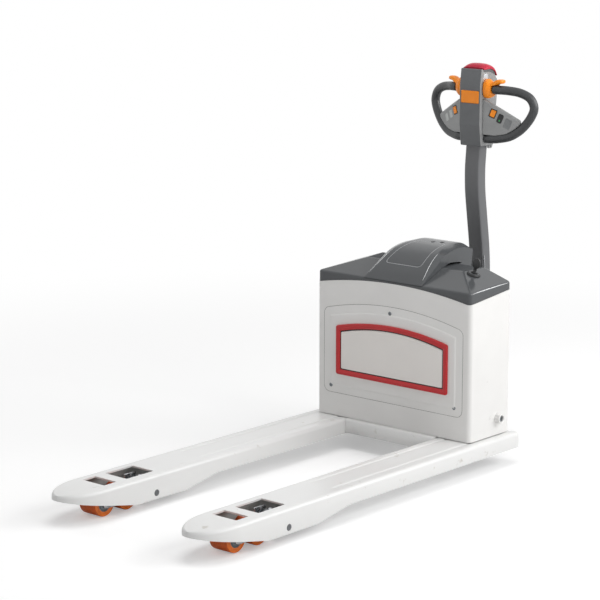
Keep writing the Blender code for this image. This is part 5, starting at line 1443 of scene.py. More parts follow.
    def _panel(self) -> Object:
        """The bare panel in the frame, its edge rolled over.

        Returns:
            The finished object.
        """
        start = self.badge_bar + 0.0035
        back, face = self.badge_seat, self.badge_seat - 0.003
        levels = [(start, back), (start, face + 0.0012), (start + 0.0004, face + 0.0004),
                  (start + 0.0013, face), (start + 0.0045, face), (start + 0.0053, face + 0.0003),
                  (start + 0.0064, face + 0.0003), (start + 0.0072, face), (start + 0.012, face)]
        return self._banded("badge_panel_shown", self.badge, levels)


# ---- Top cover ---------------------------------------------------------------------------------
@dataclass
class TopCover(SubAssembly):
    """The moulded cover, its arched grip with a hand gap, and the isolator with its key."""

    edge: float = 0.3093
    depth: float = 0.2126
    corner: float = 0.012
    wall: float = 0.0035
    front_band: float = 0.576
    rear_band: float = 0.586
    front_slope: float = 0.3717
    side_slope: float = 0.322
    crown: float = 0.6185
    blend: float = 0.0009
    fillet: float = 0.0058
    rim: float = 0.118
    taper: float = 0.07
    seat: float = 0.0008
    leg_bottom: float = 0.585
    leg_rear: float = 0.0704
    leg_front: float = 0.0154
    gap_front: float = 0.121
    gap_top: float = 0.6285
    key_x: float = 0.2245
    key_y: float = 0.128
    crown_start: float = 0.538
    arch_half: float = 0.2973
    arch_low: float = 0.541
    arch_rise: float = 0.028
    arch_rear: float = 0.563
    arch_gap: float = 0.0003
    front_end: float = 0.0062
    rolled_edge: float = 0.0095
    leg_lean: float = 0.02
    bead_radius: float = 0.0013
    plug_places: tuple[Flat, ...] = ((0.001, 0.209), (0.031, 0.2172))
    crest_panel: tuple[Flat, ...] = ((-0.076, 0.056), (0.068, 0.056), (0.057, 0.203),
                                     (-0.051, 0.203))
    groove: tuple[Flat, ...] = ((-0.0016, 0.0012), (0.0, -0.0012), (0.0016, 0.0012))
    inlay: tuple[Flat, ...] = ((-0.0013, -0.0002), (-0.0009, 0.0002), (0.0009, 0.0002),
                               (0.0013, -0.0002), (0.0, -0.0010))
    row_ends: tuple[float, ...] = (0.0, 0.0004, 0.0010, 0.0018, 0.0028, 0.0045, 0.0070, 0.0095,
                                   0.0120)
    rows: int = 62
    column_ends: tuple[float, ...] = (0.0, 0.0003, 0.0010, 0.0020, 0.0034, 0.0058, 0.0080)
    columns: int = 190
    crest: tuple[Place, ...] = (
        (0.0010, 0.1140, 0.0012), (0.0300, 0.1080, 0.0270), (0.0600, 0.1000, 0.0490),
        (0.0900, 0.0945, 0.0690), (0.1220, 0.0900, 0.0850), (0.1640, 0.0800, 0.0965),
        (0.2050, 0.0710, 0.1010), (0.2400, 0.0670, 0.1025), (0.2680, 0.0670, 0.0985),
        (0.2830, 0.0680, 0.0925), (0.2925, 0.0690, 0.0780), (0.2890, 0.0690, 0.0450))
    drops: tuple[float, ...] = (0.0006, 0.0060, 0.0105, 0.0125, 0.0100, 0.0090, 0.0090, 0.0120,
                                0.0140, 0.0130, 0.0020, 0.0004)

    def build(self) -> list[Part]:
        """Make the cover, the grip on it, the two plugs and the isolator.

        Returns:
            The pieces, ready to be dressed.
        """
        return [*(Part(item, "fork_frame", finish) for item, finish in (
            (self._cover(), COVER_GREY), (self._grip(), COVER_GREY), (self._socket(), KEY_BLACK),
            # The light grey beads are painted highlights.
            (self._collar(), PIN_STEEL), (self._plugs(), BLACK_TRIM), (self._beads(), BEAD_HIGHLIGHT_GREY),
            # The light ring on the engraved line is a painted highlight.
            (self._engraving("crest_inlay", self.inlay), GROOVE_HIGHLIGHT_GREY))),
                *self.copies("isolator_key", ("isolator_key", KEY_BLACK, 0.0012))]

    def _bottom(self, x: float, y: float) -> float:
        """Height of the cover's lower edge, just over the box's rim.

        Args:
            x: the place across the truck.
            y: the station along the truck.

        Returns:
            The height.
        """
        if y > self.front_end:
            sides = ((0.0, self.arch_low), (self.depth, self.arch_rear))
            return between(sides, y) + self.arch_gap
        share = min(1.0, abs(x) / self.arch_half)
        return self.arch_low + self.arch_rise * (1 - share * share) + self.arch_gap

    def _half(self, y: float) -> float:
        """Half the cover's width at y, rounded at its corners.

        Args:
            y: the station along the truck.

        Returns:
            The half width.
        """
        from_end = min(y, self.depth - y)
        if from_end >= self.corner:
            return self.edge
        return self.edge - self.corner + math.sqrt(
            max(0.0, self.corner ** 2 - (self.corner - from_end) ** 2))

    def _height(self, x: float, y: float) -> float:
        """Height of the cover's skin: three facets blended at their creases, its edge rounded.

        Args:
            x: the place across the truck.
            y: the station along the truck.

        Returns:
            The height.
        """
        band = self.front_band + (self.rear_band - self.front_band) * y / self.depth
        facets = (self.front_band + self.front_slope * y,
                  band + self.side_slope * (self.edge - abs(x)), self.crown)
        low = facets[0]
        for facet in facets[1:]:
            share = min(1.0, max(0.0, 0.5 + 0.5 * (facet - low) / self.blend))
            low = facet * (1 - share) + low * share - self.blend * share * (1 - share)
        over_x = abs(x) - (self.edge - self.corner)
        over_y = abs(y - self.depth / 2) - (self.depth / 2 - self.corner)
        at_corner = over_x > 0 and over_y > 0
        outward = math.hypot(over_x, over_y) if at_corner else max(over_x, over_y)
        inside = max(0.0, self.corner - outward)
        if inside >= self.fillet:
            return low
        return low - self.fillet + math.sqrt(self.fillet ** 2 - (self.fillet - inside) ** 2)

    def _cover(self) -> Object:
        """The hollow cover with the isolator's spot-faced seat.

        Returns:
            The finished object.
        """
        last = self.row_ends[-1]
        rows = [*self.row_ends, *(last + (self.depth - 2 * last) * step / self.rows
                                  for step in range(1, self.rows)),
                *(self.depth - end for end in reversed(self.row_ends))]
        last = self.column_ends[-1]
        across = [-1 + edge / self.edge for edge in self.column_ends]
        across += [-1 + last / self.edge + (2 - 2 * last / self.edge) * step / self.columns
                   for step in range(1, self.columns)]
        across += [1 - edge / self.edge for edge in reversed(self.column_ends)]
        shell = Shell()
        skins = []
        for inset in (0.0, self.wall):
            skin = []
            for y in rows:
                shrink = (self.depth - 2 * inset) / self.depth
                at = inset + y * shrink
                reach = self._half(y) * (self.edge - inset) / self.edge
                skin.append([shell.shape.verts.new(
                    placed(u * reach, at, self._height(u * self._half(y), y) - inset))
                    for u in across])
            skins.append(skin)
        loops, feet = [], []
        for skin, wall in zip(skins, (0.0, self.wall)):
            loop = skin[0] + [row[-1] for row in skin[1:-1]]
            loop += [*reversed(skin[-1]), *(row[0] for row in reversed(skin[1:-1]))]
            foot = []
            for vert in loop:
                x, y = vert.co.x, vert.co.y - BOX_FRONT_Y
                under = y - wall if wall else max(0.0, y)
                foot.append(shell.shape.verts.new(placed(x, y, self._bottom(x, under))))
            loops.append(loop)
            feet.append(foot)
        for skin in skins:
            for lower, upper in zip(skin, skin[1:]):
                shell.band(lower, upper, closed=False)
        for upper, lower in (*zip(loops, feet), feet):
            shell.band(upper, lower)
        cover = shell.piece("top_cover_shown", SOFTER_ANGLE)
        spot_face = drum("spot_face", 0.0221, 0.0, 0.012, self._seat(), 56)
        return two_toned(carved(cover, [spot_face], SOFTER_ANGLE), COVER_GREY, CROWN_GREY,
                         lambda face: face.normal.z > 0.985
                         and face.center.z > self.crown - 0.002)

    def _seat(self) -> Matrix:
        """The matrix of the isolator's seat, standing square on the cover's side slope.

        Returns:
            A matrix whose third direction is the seat's normal.
        """
        band = self.front_band + (self.rear_band - self.front_band) * self.key_y / self.depth
        crease = between(((0.0, 0.0), (self.crown_start * self.depth, 0.1152),
                          (self.depth, 0.1025)), self.key_y)
        slope = (self.crown - band) / crease
        tilt = math.atan(slope)
        normal = Vector((math.sin(tilt), 0.0, math.cos(tilt)))
        surface = band + slope * (self.edge - self.key_x)
        floor = Vector((self.key_x, self.key_y, surface)) - normal * 0.0012
        return basis((math.cos(tilt), 0.0, -math.sin(tilt)), (0, 1, 0), normal, floor)

    def _socket(self) -> Object:
        """The isolator's round socket.

        Returns:
            The finished object.
        """
        line = [(0.0095, 0.0003), (0.0095, 0.0073), (0.0125, 0.0073), (0.0130, 0.0068),
                (0.0165, 0.0068), (0.0170, 0.0073), (0.0185, 0.0071), (0.0205, 0.0058),
                (0.0214, 0.0040), (0.0215, 0.0003)]
        return Shell().turned(line, self._seat(), 56, closed=True).piece("isolator_base_shown")

    def _collar(self) -> Object:
        """The bright ring round the isolator's socket.

        Returns:
            The finished object.
        """
        line = [(0.0130, 0.0069), (0.0134, 0.0078), (0.0143, 0.0083), (0.0155, 0.0083),
                (0.0163, 0.0078), (0.0165, 0.0069)]
        return Shell().turned(line, self._seat(), 56, closed=True).piece("isolator_collar")

    def _crown(self) -> list[tuple[float, float, float, float]]:
        """Y, half width, height and rim height along the grip's crest.

        Returns:
            The stations from front to rear.
        """
        line: list[tuple[float, float, float, float]] = []
        falls = smooth_path([(drop, 0.0, 0.0) for drop in self.drops], 5)
        for place, fall in zip(smooth_path(self.crest, 5), falls):
            height = self.front_band + self.seat + place.z
            line.append((place.x, place.y, height, height - max(0.0003, fall.x)))
        return line

    def _grip(self) -> Object:
        """The arched grip with rolled edges, an engraved panel line, a hand gap and a recess.

        Returns:
            The finished object.
        """
        crown = self._crown()
        back = self.depth + self.seat
        sill = self.crown + self.seat
        foot = [(self.depth + self.leg_rear, self.leg_bottom), (back, self.leg_bottom),
                (back, sill), (self.crown_start * self.depth, sill),
                (0.0, self.front_band + self.seat)]
        radius = self.rolled_edge
        rings = []
        for share in (-0.28, 0.0, 0.18, 0.36, 0.52, 0.68, 0.84, 1.0, 1.6, 2.4, 3.4):
            ring = []
            for y, half, high, low in crown:
                rim = self.rim - self.taper * y
                side = Vector((rim - half, low - high))
                reach = min(radius, 0.6 * side.length)
                start = Vector((half, high)) + side.normalized() * reach
                if share < 0.0:
                    point = Vector((rim, low))
                elif share <= 1.0:
                    point = bent(start, Vector((half, high)), Vector((half - radius, high)), share)
                else:
                    point = Vector(((half - radius) * (1 - (share - 1.0) / 2.7), high))
                ring.append((point.x, y, point.y))
            for y, z in foot:
                rim = self.rim - self.taper * y
                inner = rim - self.leg_lean * min(1.0, max(0.0, share + 0.28) / 1.28)
                if share > 1.0:
                    inner = (rim - self.leg_lean) * (1 - (share - 1.0) / 2.7)
                ring.append((inner, y, z))
            rings.append(ring)
        mirrored = [[(-x, y, z) for x, y, z in ring] for ring in rings]
        skins = mirrored + list(reversed(rings))
        grip = Shell().loft([[placed(*point) for point in ring] for ring in skins]).piece(
            "cover_handle_shown", SOFTER_ANGLE)
        lip = self.depth + self.leg_front
        low, sill_cut = 0.596, sill - 0.0018
        front, top = self.gap_front, self.gap_top
        gap = [(front, low), (back - 0.0002, low), (back - 0.0002, sill_cut), (lip, sill_cut),
               (lip, top - 0.0095), (self.depth, top - 0.0047), (front + 0.042, top),
               (front + 0.020, top - 0.0035), (front, sill_cut + 0.001)]
        through = prism("hand_gap", gap, -0.15, 0.15, sideways())
        recess = rectangle(0.060, (lip - front - 0.025) / 2, (0.0, (lip + front + 0.025) / 2))
        hollow = prism("hand_recess", rounded(recess, 0.012), sill_cut, 0.652, lying())
        groove = self._engraving("engraved_line", self.groove)
        return carved(grip, [through, hollow, groove], SOFTER_ANGLE)

    def _crest_height(self, y: float) -> float:
        """Height of the grip's crest at y.

        Args:
            y: the station along the truck.

        Returns:
            The height.
        """
        line = [(at, high) for at, _, high, _ in self._crown()]
        rising = line[:1] + [pair for before, pair in zip(line, line[1:]) if pair[0] > before[0]]
        return between(rising, y)

    def _engraving(self, name: str, profile: Sequence[Flat]) -> Object:
        """A ring of the given profile (inset, rise) round the crest's blank panel.

        Args:
            name: the piece's name.
            profile: inset and rise of each step of the section.

        Returns:
            The finished object.
        """
        loop: list[Flat] = []
        outline = rounded(self.crest_panel, 0.016, 6)
        for index, start in enumerate(outline):
            end = outline[(index + 1) % len(outline)]
            pieces = max(1, round((Vector(end) - Vector(start)).length / 0.006))
            for step in range(pieces):
                share = step / pieces
                loop.append((start[0] + (end[0] - start[0]) * share,
                             start[1] + (end[1] - start[1]) * share))
        rings = [[placed(x, y, self._crest_height(y) + rise) for x, y in shrunk(loop, inset)]
                 for inset, rise in profile]
        return Shell().loft(rings + rings[:1], caps=False).piece(name)

    def _beads(self) -> Object:
        """Fine raised beads along the grip's rolled edges and the cover's upper side edges,
        coloured light grey as painted highlights.

        Returns:
            The finished object.
        """
        beads = Shell()
        for side in SIDES.values():
            crest = [placed(side * (half - 0.0024), y, high - 0.0020)
                     for y, half, high, _ in self._crown() if 0.008 < y < 0.150]
            edge = [placed(side * (self.edge - 0.0017), y, self._height(self.edge - 0.0017, y))
                    for y in (0.008, 0.050, 0.100, 0.150, 0.2046)]
            for line in (crest, edge):
                beads.tube(line, self.bead_radius, 10,
                           lambda share: 0.25 if share in (0.0, 1.0) else 1.0)
        return beads.piece("cover_beads")

    def _plugs(self) -> Object:
        """Two dark screw plugs on the crest, near its rear.

        Returns:
            The finished object.
        """
        plugs = Shell()
        for x, y in self.plug_places:
            plugs.turned(((0.0075, -0.003), (0.0075, 0.0004), (0.0068, 0.0009), (0.0040, 0.0009),
                          (0.0026, 0.0004), (0.0003, 0.0004)),
                         lying((x, y, self._crest_height(y))), 32)
        return plugs.piece("crest_plugs")


# ---- Lift linkage and load rollers -------------------------------------------------------------
def shoulder_line(radius: float, half: float, turn: float) -> list[Flat]:
    """A tread's rounded shoulder, from its side to its running face.

    Args:
        radius: radius of the tread.
        half: half its width.
        turn: radius of the shoulder.

    Returns:
        Radius and height of the shoulder's points.
    """
    return [(radius - turn + turn * math.sin(angle), half - turn + turn * math.cos(angle))
            for angle in (0.4, 0.8, 1.2, math.pi / 2)]


@dataclass
class LoadGear(SubAssembly):
    """The cross shaft, push rods, swinging arms, bogies and tandem rollers."""

    centre: float = 0.2625
    bogie_y: float = -1.00995
    bogie_z: float = 0.040
    spacing: float = 0.095
    radius: float = 0.040
    core: float = 0.025
    half: float = 0.035
    bore: float = 0.0063
    shoulder: float = 0.004
    web_x: float = 0.0235
    web_thickness: float = 0.0042
    web_corners: tuple[Flat, ...] = ((-0.9200, 0.060), (-0.872, 0.056), (-0.8680, 0.072),
                                     (-0.872, 0.0880), (-0.9200, 0.0885))

    def build(self) -> list[Part]:
        """Make the linkage and the four rollers.

        Returns:
            The pieces, ready to be dressed.
        """
        parts = self.copies("rocker", ("rocker_shaft", HUB_STEEL, 0.0008))
        for name, side in SIDES.items():
            for kind, finish, edge in (("push_rod", BRIGHT_STEEL, 0.0006),
                                       ("load_arm", HUB_STEEL, 0.0008),
                                       ("bogie", BRIGHT_STEEL, 0.0006)):
                parts += self.copies(f"{name}_{kind}", (f"{name}_{kind}", finish, edge))
            parts.append(Part(self._web(f"{name}_arm_web", side), f"{name}_load_arm",
                              BRIGHT_STEEL))
            for place, mark in (("front", -1), ("rear", 1)):
                body = f"{name}_{place}_roller"
                axis = sideways((side * self.centre, self.bogie_y + mark * self.spacing / 2,
                                 self.bogie_z))
                parts += [Part(self._tyre(f"{body}_tyre{SHOWN}", axis), body, ROLLER_ORANGE),
                          Part(self._hub(f"{body}_hub{SHOWN}", axis), body, HUB_STEEL)]
        return parts

    def _web(self, name: str, side: int) -> Object:
        """Two bright stiffening webs on the load arm.

        Args:
            name: the piece's name.
            side: -1 for the left one, 1 for the right one.

        Returns:
            The finished object.
        """
        outline = rounded(self.web_corners, 0.003, 3)
        web = Shell()
        for mark in (-1, 1):
            middle = side * self.centre + mark * self.web_x
            web.slab(outline, self.web_thickness, 0.0006, sideways((middle, 0, 0)), 2)
        return web.piece(name)

    def _tyre(self, name: str, axis: Matrix) -> Object:
        """Polyurethane tread with rounded shoulders and a moulded ring in each side.

        Args:
            name: the piece's name.
            axis: matrix whose third direction is the axis.

        Returns:
            The finished object.
        """
        radius, half, core = self.radius, self.half, self.core
        line = [(core, half - 0.0004), (core + 0.0012, half), (core + 0.0050, half),
                (core + 0.0058, half - 0.0007), (core + 0.0070, half - 0.0007),
                (core + 0.0078, half), (radius - self.shoulder, half)]
        line += shoulder_line(radius, half, self.shoulder)
        tyre = Shell().turned(both_ends(line), axis, 72, closed=True).piece(name)
        return two_toned(tyre, ROLLER_ORANGE, ROLLER_SIDE, lambda face: abs(face.normal.x) > 0.6)

    def _hub(self, name: str, axis: Matrix) -> Object:
        """Steel core with the bearing's outer ring, seal and inner ring standing in it.

        Args:
            name: the piece's name.
            axis: matrix whose third direction is the axis.

        Returns:
            The finished object.
        """
        core, face = self.core - 0.0003, self.half - 0.001
        line = [(self.bore, face), (0.0100, face), (0.0105, face - 0.0012),
                (0.0165, face - 0.0012), (0.0170, face - 0.0002), (0.0195, face - 0.0002),
                (0.0200, face - 0.0040), (0.0212, face - 0.0040), (0.0216, face),
                (core - 0.0006, face), (core, face - 0.0006)]
        return Shell().turned(both_ends(line), axis, 56, closed=True).piece(name)


# ---- Inside the box, chassis and drive ---------------------------------------------------------
@dataclass
class PowerPack(SubAssembly):
    """Battery with its ribbed case, controller, pump unit, and the bracket the ram lifts."""

    fasteners: Fasteners
    battery_low: Place = (-0.285, 0.010, 0.1003)
    battery_high: Place = (0.105, 0.1235, 0.330)
    ribs: int = 14
    rib_margin: float = 0.018
    fins_at: Place = (-0.170, 0.062, 0.3862)
    bolts_x: Flat = (-0.083, 0.083)
    bolts_y: float = 0.2190
    bolts_z: Flat = (0.412, 0.503)

    def build(self) -> list[Part]:
        """Make the pieces inside and behind the box.

        Returns:
            The pieces, ready to be dressed.
        """
        (left, front, low), (right, _, high) = self.battery_low, self.battery_high
        start = placed(left + self.rib_margin, front - 0.0006, (low + high) / 2)
        pitch = (right - left - 2 * self.rib_margin) / (self.ribs - 1)
        ribs = self.fasteners.ribs.grow(
            "battery_ribs", [start], BATTERY_BLACK, Count=self.ribs, Pitch=(pitch, 0.0, 0.0),
            Size=(0.005, 0.002, high - low - 0.030))
        fins = self.fasteners.ribs.grow(
            "controller_fins", [placed(*self.fins_at)], MOTOR_GREY, Count=15,
            Pitch=(0.0114, 0.0, 0.0), Size=(0.0022, 0.090, 0.004))
        places = [placed(x, self.bolts_y, z) for x in self.bolts_x for z in self.bolts_z]
        bolts = self.fasteners.bolts.grow(
            "bracket_bolts", places, BRIGHT_STEEL, Head=0.0065, Height=0.005, Washer=0.0080,
            Turn=basis((1, 0, 0), (0, 0, -1), (0, 1, 0)).to_euler())
        return [*self.copies("fork_frame", ("battery_pack", BATTERY_BLACK),
                             ("motor_controller", MOTOR_GREY), ("pump_unit", DARK_STEEL, 0.002),
                             ("lift_bracket", DARK_STEEL, 0.001),
                             ("lift_ram", BRIGHT_STEEL, 0.001)),
                Part(ribs, "fork_frame", BATTERY_BLACK), Part(fins, "fork_frame", MOTOR_GREY),
                Part(bolts, "fork_frame", BRIGHT_STEEL)]


@dataclass
class Chassis(SubAssembly):
    """Bearing plate, slewing ring, lift cylinder and guide posts."""

    fasteners: Fasteners
    cylinder_y: float = 0.255
    steer_y: float = 0.400
    base: float = 0.2473
    post_x: float = 0.075
    post_radius: float = 0.0125
    post_top: float = 0.565
    cylinder_radius: float = 0.0225
    cylinder_top: float = 0.4253

    def build(self) -> list[Part]:
        """Make the chassis's pieces.

        Returns:
            The pieces, ready to be dressed.
        """
        bolts = self.fasteners.bolt_circle(
            "bearing_plate_bolts", lying((0, self.steer_y, self.base + 0.0003)), 0.0965, 10, 0.0050,
            BRIGHT_STEEL, 18.0)
        return [*self.copies("chassis", ("chassis_plate", DARK_STEEL, 0.001),
                             ("slewing_ring", BRIGHT_STEEL)),
                Part(self._cylinder(), "chassis", DARK_STEEL), Part(bolts, "chassis", BRIGHT_STEEL),
                *(Part(self._post(f"{name}_guide_post{SHOWN}", side), "chassis", BRIGHT_STEEL)
                  for name, side in SIDES.items())]

    def _cylinder(self) -> Object:
        """Lift cylinder with its gland nut and base weld.

        Returns:
            The finished object.
        """
        outer, top, base = self.cylinder_radius, self.cylinder_top, self.base
        line = [(0.0113, base + 0.012), (0.0113, top - 0.001), (0.0125, top),
                (outer - 0.0035, top), (outer - 0.002, top - 0.0015), (outer - 0.002, top - 0.018),
                (outer, top - 0.020), (outer, top - 0.0230), (outer - 0.0008, top - 0.0238),
                (outer - 0.0008, base + 0.014), (outer, base + 0.010), (outer, base),
                (0.0004, base), (0.0004, base + 0.012)]
        return Shell().turned(line, lying((0, self.cylinder_y, 0)), 56, closed=True).piece(
            "lift_cylinder_shown")

    def _post(self, name: str, side: int) -> Object:
        """Ground guide post with a chamfered head and a retaining groove.

        Args:
            name: the piece's name.
            side: -1 for the left one, 1 for the right one.

        Returns:
            The finished object.
        """
        outer, top = self.post_radius, self.post_top
        line = [(0.0004, top - 0.002), (0.0040, top), (outer - 0.002, top), (outer, top - 0.002),
                (outer, top - 0.0070), (outer - 0.0010, top - 0.0072),
                (outer - 0.0010, top - 0.0086), (outer, top - 0.0088), (outer, self.base + 0.001),
                (outer - 0.001, self.base)]
        return Shell().turned(line, lying((side * self.post_x, self.cylinder_y, 0))).piece(name)


@dataclass
class DriveUnit(SubAssembly):
    """Steered gearbox, motor, turret, tiller pin and springs, and the drive wheel."""

    fasteners: Fasteners
    steer_y: float = 0.400
    motor_radius: float = 0.050
    motor_base: float = 0.2523
    motor_top: float = 0.4023
    wheel_radius: float = 0.105
    wheel_half: float = 0.035
    rim: float = 0.082
    tread_edge: float = 0.006
    groove: float = 0.0012

    def build(self) -> list[Part]:
        """Make the drive unit's pieces.

        Returns:
            The pieces, ready to be dressed.
        """
        axle = sideways((0.0, self.steer_y, self.wheel_radius))
        nuts = self.fasteners.bolt_circle(
            "wheel_nuts", sideways((0.0200, self.steer_y, self.wheel_radius)), 0.050, 5, 0.0065,
            BRIGHT_STEEL)
        fins = self.fasteners.fins.grow(
            "motor_fins", [placed(0, self.steer_y, 0.262)], MOTOR_GREY, Count=14,
            Pitch=(0.0, 0.0, 0.0072), Radius=self.motor_radius - 0.0003, Thickness=0.0026)
        return [*self.copies("drive_unit", ("drive_gearbox", MOTOR_GREY, 0.001),
                             ("tiller_turret", DARK_STEEL, 0.0012),
                             ("tiller_pin", BRIGHT_STEEL, 0.0004),
                             *((f"{name}_tiller_spring", BRIGHT_STEEL, 0.0, 60.0)
                               for name in SIDES)),
                Part(self._motor(), "drive_unit", MOTOR_GREY), Part(fins, "drive_unit", MOTOR_GREY),
                Part(nuts, "drive_wheel", BRIGHT_STEEL),
                Part(self._tyre(axle), "drive_wheel", TYRE_BLACK),
                Part(self._hub(axle), "drive_wheel", HUB_STEEL)]

    def _motor(self) -> Object:
        """Motor body drawn in behind its cooling fins, with a stepped cap.

        Returns:
            The finished object.
        """
        top, base = self.motor_top, self.motor_base
        outer, core = self.motor_radius, 0.0455
        line = [(0.0004, top), (0.030, top), (0.0335, top - 0.0008), (0.036, top - 0.0040),
                (0.036, top - 0.030), (outer - 0.004, top - 0.030), (outer - 0.0010, top - 0.0320),
                (outer, top - 0.036), (outer, top - 0.042), (core, top - 0.044),
                (core, base + 0.008), (outer, base + 0.006), (outer, base), (0.0004, base)]
        return Shell().turned(line, lying((0, self.steer_y, 0)), 72).piece("drive_motor_shown")

    def _tyre(self, axis: Matrix) -> Object:
        """Solid tyre with rounded shoulders and three fine grooves.

        Args:
            axis: matrix whose third direction is the axis.

        Returns:
            The finished object.
        """
        outer, half = self.wheel_radius, self.wheel_half
        low = outer - self.groove
        line = [(self.rim, half - 0.001), (self.rim + 0.002, half), (outer - self.tread_edge, half)]
        line += shoulder_line(outer, half, self.tread_edge)
        line += [(outer, 0.0175), (low, 0.0168), (low, 0.0152), (outer, 0.0145), (outer, 0.0015),
                 (low, 0.0008)]
        return Shell().turned(both_ends(line), axis, 96, closed=True).piece("drive_tyre_shown")

    def _hub(self, axis: Matrix) -> Object:
        """Dished wheel centre with a machined rim.

        Args:
            axis: matrix whose third direction is the axis.

        Returns:
            The finished object.
        """
        half, rim = self.wheel_half, self.rim
        line = [(0.0123, half - 0.0045), (0.0128, half - 0.004), (0.0290, half - 0.004),
                (0.0300, half - 0.005), (0.034, half - 0.016), (rim - 0.015, half - 0.016),
                (rim - 0.0125, half - 0.0145), (rim - 0.008, half - 0.003),
                (rim - 0.007, half - 0.002), (rim - 0.0003, half - 0.002)]
        return Shell().turned(both_ends(line), axis, 72, closed=True).piece("drive_hub_shown")


# ---- Tiller ------------------------------------------------------------------------------------
@dataclass
class Tiller(SubAssembly):
    """Bent arm, control head, looped grips and switch wings with all their controls."""

    pivot: Flat = (0.465, 0.525)
    arm_half: float = 0.0285
    arm_depth: float = 0.043
    arm_corner: float = 0.0062
    boss_radius: float = 0.0185
    arm_bore: float = 0.0083
    bends: tuple[Flat, ...] = ((0.0, 0.0), (0.101, 0.0005), (0.259, 0.0065), (0.479, 0.0210),
                               (0.663, 0.0325), (0.821, 0.0350), (0.951, 0.0305), (1.0, 0.0285))
    head_bottom: float = 0.9697
    head_half: float = 0.0425
    head_corner: float = 0.0034
    head_outline: tuple[Flat, ...] = (
        (0.4035, 0.9697), (0.4620, 0.9697), (0.4700, 1.0101), (0.4820, 1.0801), (0.4890, 1.1501),
        (0.4885, 1.1835), (0.4745, 1.2010), (0.4480, 1.2122), (0.4122, 1.2138), (0.4110, 1.2216),
        (0.4015, 1.2222), (0.3955, 1.1700), (0.3945, 1.0400))
    belly_front: float = 0.415
    belly_low: float = 1.2105
    belly_floor: tuple[Flat, ...] = ((0.0, 0.0), (0.0320, -0.0005), (0.0560, -0.0110),
                                     (0.0650, -0.0265))
    belly_over: tuple[Flat, ...] = ((0.0690, -0.0190), (0.0620, 0.0020), (0.0400, 0.0120),
                                    (0.0020, 0.0120))
    belly_lip: tuple[Flat, ...] = ((-0.0006, 0.0100), (0.020, 0.0104), (0.0400, 0.0098),
                                   (0.0600, 0.0005), (0.0700, -0.0140))
    belly_dome: tuple[Flat, ...] = ((-0.0010, 0.0165), (0.0080, 0.0246), (0.0260, 0.0279),
                                    (0.0520, 0.0205), (0.0719, -0.0110))
    belly_half: float = 0.0424
    stem_half: float = 0.0385
    horn_z: float = 1.131
    slant: float = 0.35
    grip_radius: float = 0.0146
    grip_y: float = 0.4035
    grip_line: tuple[Flat, ...] = (
        (0.118, 1.155), (0.156, 1.149), (0.187, 1.1325), (0.2000, 1.103), (0.1915, 1.073),
        (0.1712, 1.0425), (0.1495, 1.0215), (0.1215, 1.0050), (0.085, 0.9970), (0.0640, 0.9955))
    throttle_y: float = 0.425
    throttle_z: float = 1.157
    throttle_inner: float = 0.0437
    throttle_outer: float = 0.0697
    spigot: Flat = (0.0430, 0.0780)
    wing_y: float = 0.392
    wing_thickness: float = 0.016
    wing_top: tuple[Flat, ...] = ((0.0428, 1.1275), (0.1000, 1.0965), (0.1625, 1.0600))
    wing_foot: Flat = (0.0428, 1.0098)
    switch_tilt: float = math.radians(22)
    switch_at: Flat = (0.0765, 1.0806)
    switch_half: Flat = (0.00825, 0.01125)
    switch_play: float = 0.0005
    gauge_at: Flat = (0.0995, 1.0645)
    left_blanks: tuple[tuple[float, ...], ...] = ((0.1000, 1.0650, 0.0080, 0.0125),
                                                  (0.1215, 1.0520, 0.0080, 0.0125))
    right_blanks: tuple[tuple[float, ...], ...] = ((0.1235, 1.0485, 0.0120, 0.0165),)
    lobe: tuple[tuple[float, ...], ...] = (
        (0.0437, -0.0270, 0.0290, 0.0190, 0.0), (0.0450, -0.0286, 0.0316, 0.0212, 0.0),
        (0.0480, -0.0290, 0.0334, 0.0220, 0.0), (0.0530, -0.0290, 0.0338, 0.0222, 0.0),
        (0.0570, -0.0286, 0.0328, 0.0218, 0.0), (0.0610, -0.0275, 0.0290, 0.0208, 0.001),
        (0.0650, -0.0255, 0.0256, 0.0194, 0.003), (0.0695, -0.0215, 0.0250, 0.0184, 0.004),
        (0.0740, -0.0130, 0.0270, 0.0178, 0.005), (0.0790, 0.0010, 0.0300, 0.0168, 0.006),
        (0.0840, 0.0120, 0.0326, 0.0158, 0.006), (0.0900, 0.0176, 0.0341, 0.0150, 0.007),
        (0.0960, 0.0196, 0.0345, 0.0145, 0.007), (0.1020, 0.0204, 0.0345, 0.0138, 0.008),
        (0.1055, 0.0212, 0.0338, 0.0124, 0.008), (0.1070, 0.0232, 0.0318, 0.0096, 0.008))
    lobe_sides: int = 44
    lobe_squareness: float = 0.80

    def build(self) -> list[Part]:
        """Make the arm, the head and everything on it.

        Returns:
            The pieces, ready to be dressed.
        """
        parts = [Part(make(), body, finish) for make, body, finish in (
            (self._arm, "tiller", ARM_GREY), (self._head, "tiller", HEAD_GREY),
            (self._belly, "belly_switch", BELLY_RED), (self._horn, "horn_button", CONTROL_ORANGE),
            (self._side_trim, "tiller", SILVER_TRIM), (self._knob, "tiller", WING_GREY),
            (self._tab, "tiller", WING_GREY))]
        for name, side in SIDES.items():
            for make, kind, body, finish in (
                    (self._grip, "grip_shown", "tiller", GRIP_RUBBER),
                    (self._wing, "wing_shown", "tiller", WING_GREY),
                    (self._throttle, "throttle_shown", "throttle", CONTROL_ORANGE),
                    (self._switch, "switch_shown", f"{name}_switch", CONTROL_ORANGE),
                    (self._bezels, "bezels", "tiller", BLACK_TRIM),
                    (self._blanks, "blanks", "tiller", BLANK_GREY if side > 0 else RIDGE_GREY)):
                parts.append(Part(make(f"{name}_{kind}", side), body, finish))
        parts.append(Part(self._gauge(), "tiller", GAUGE_GREEN))
        return parts

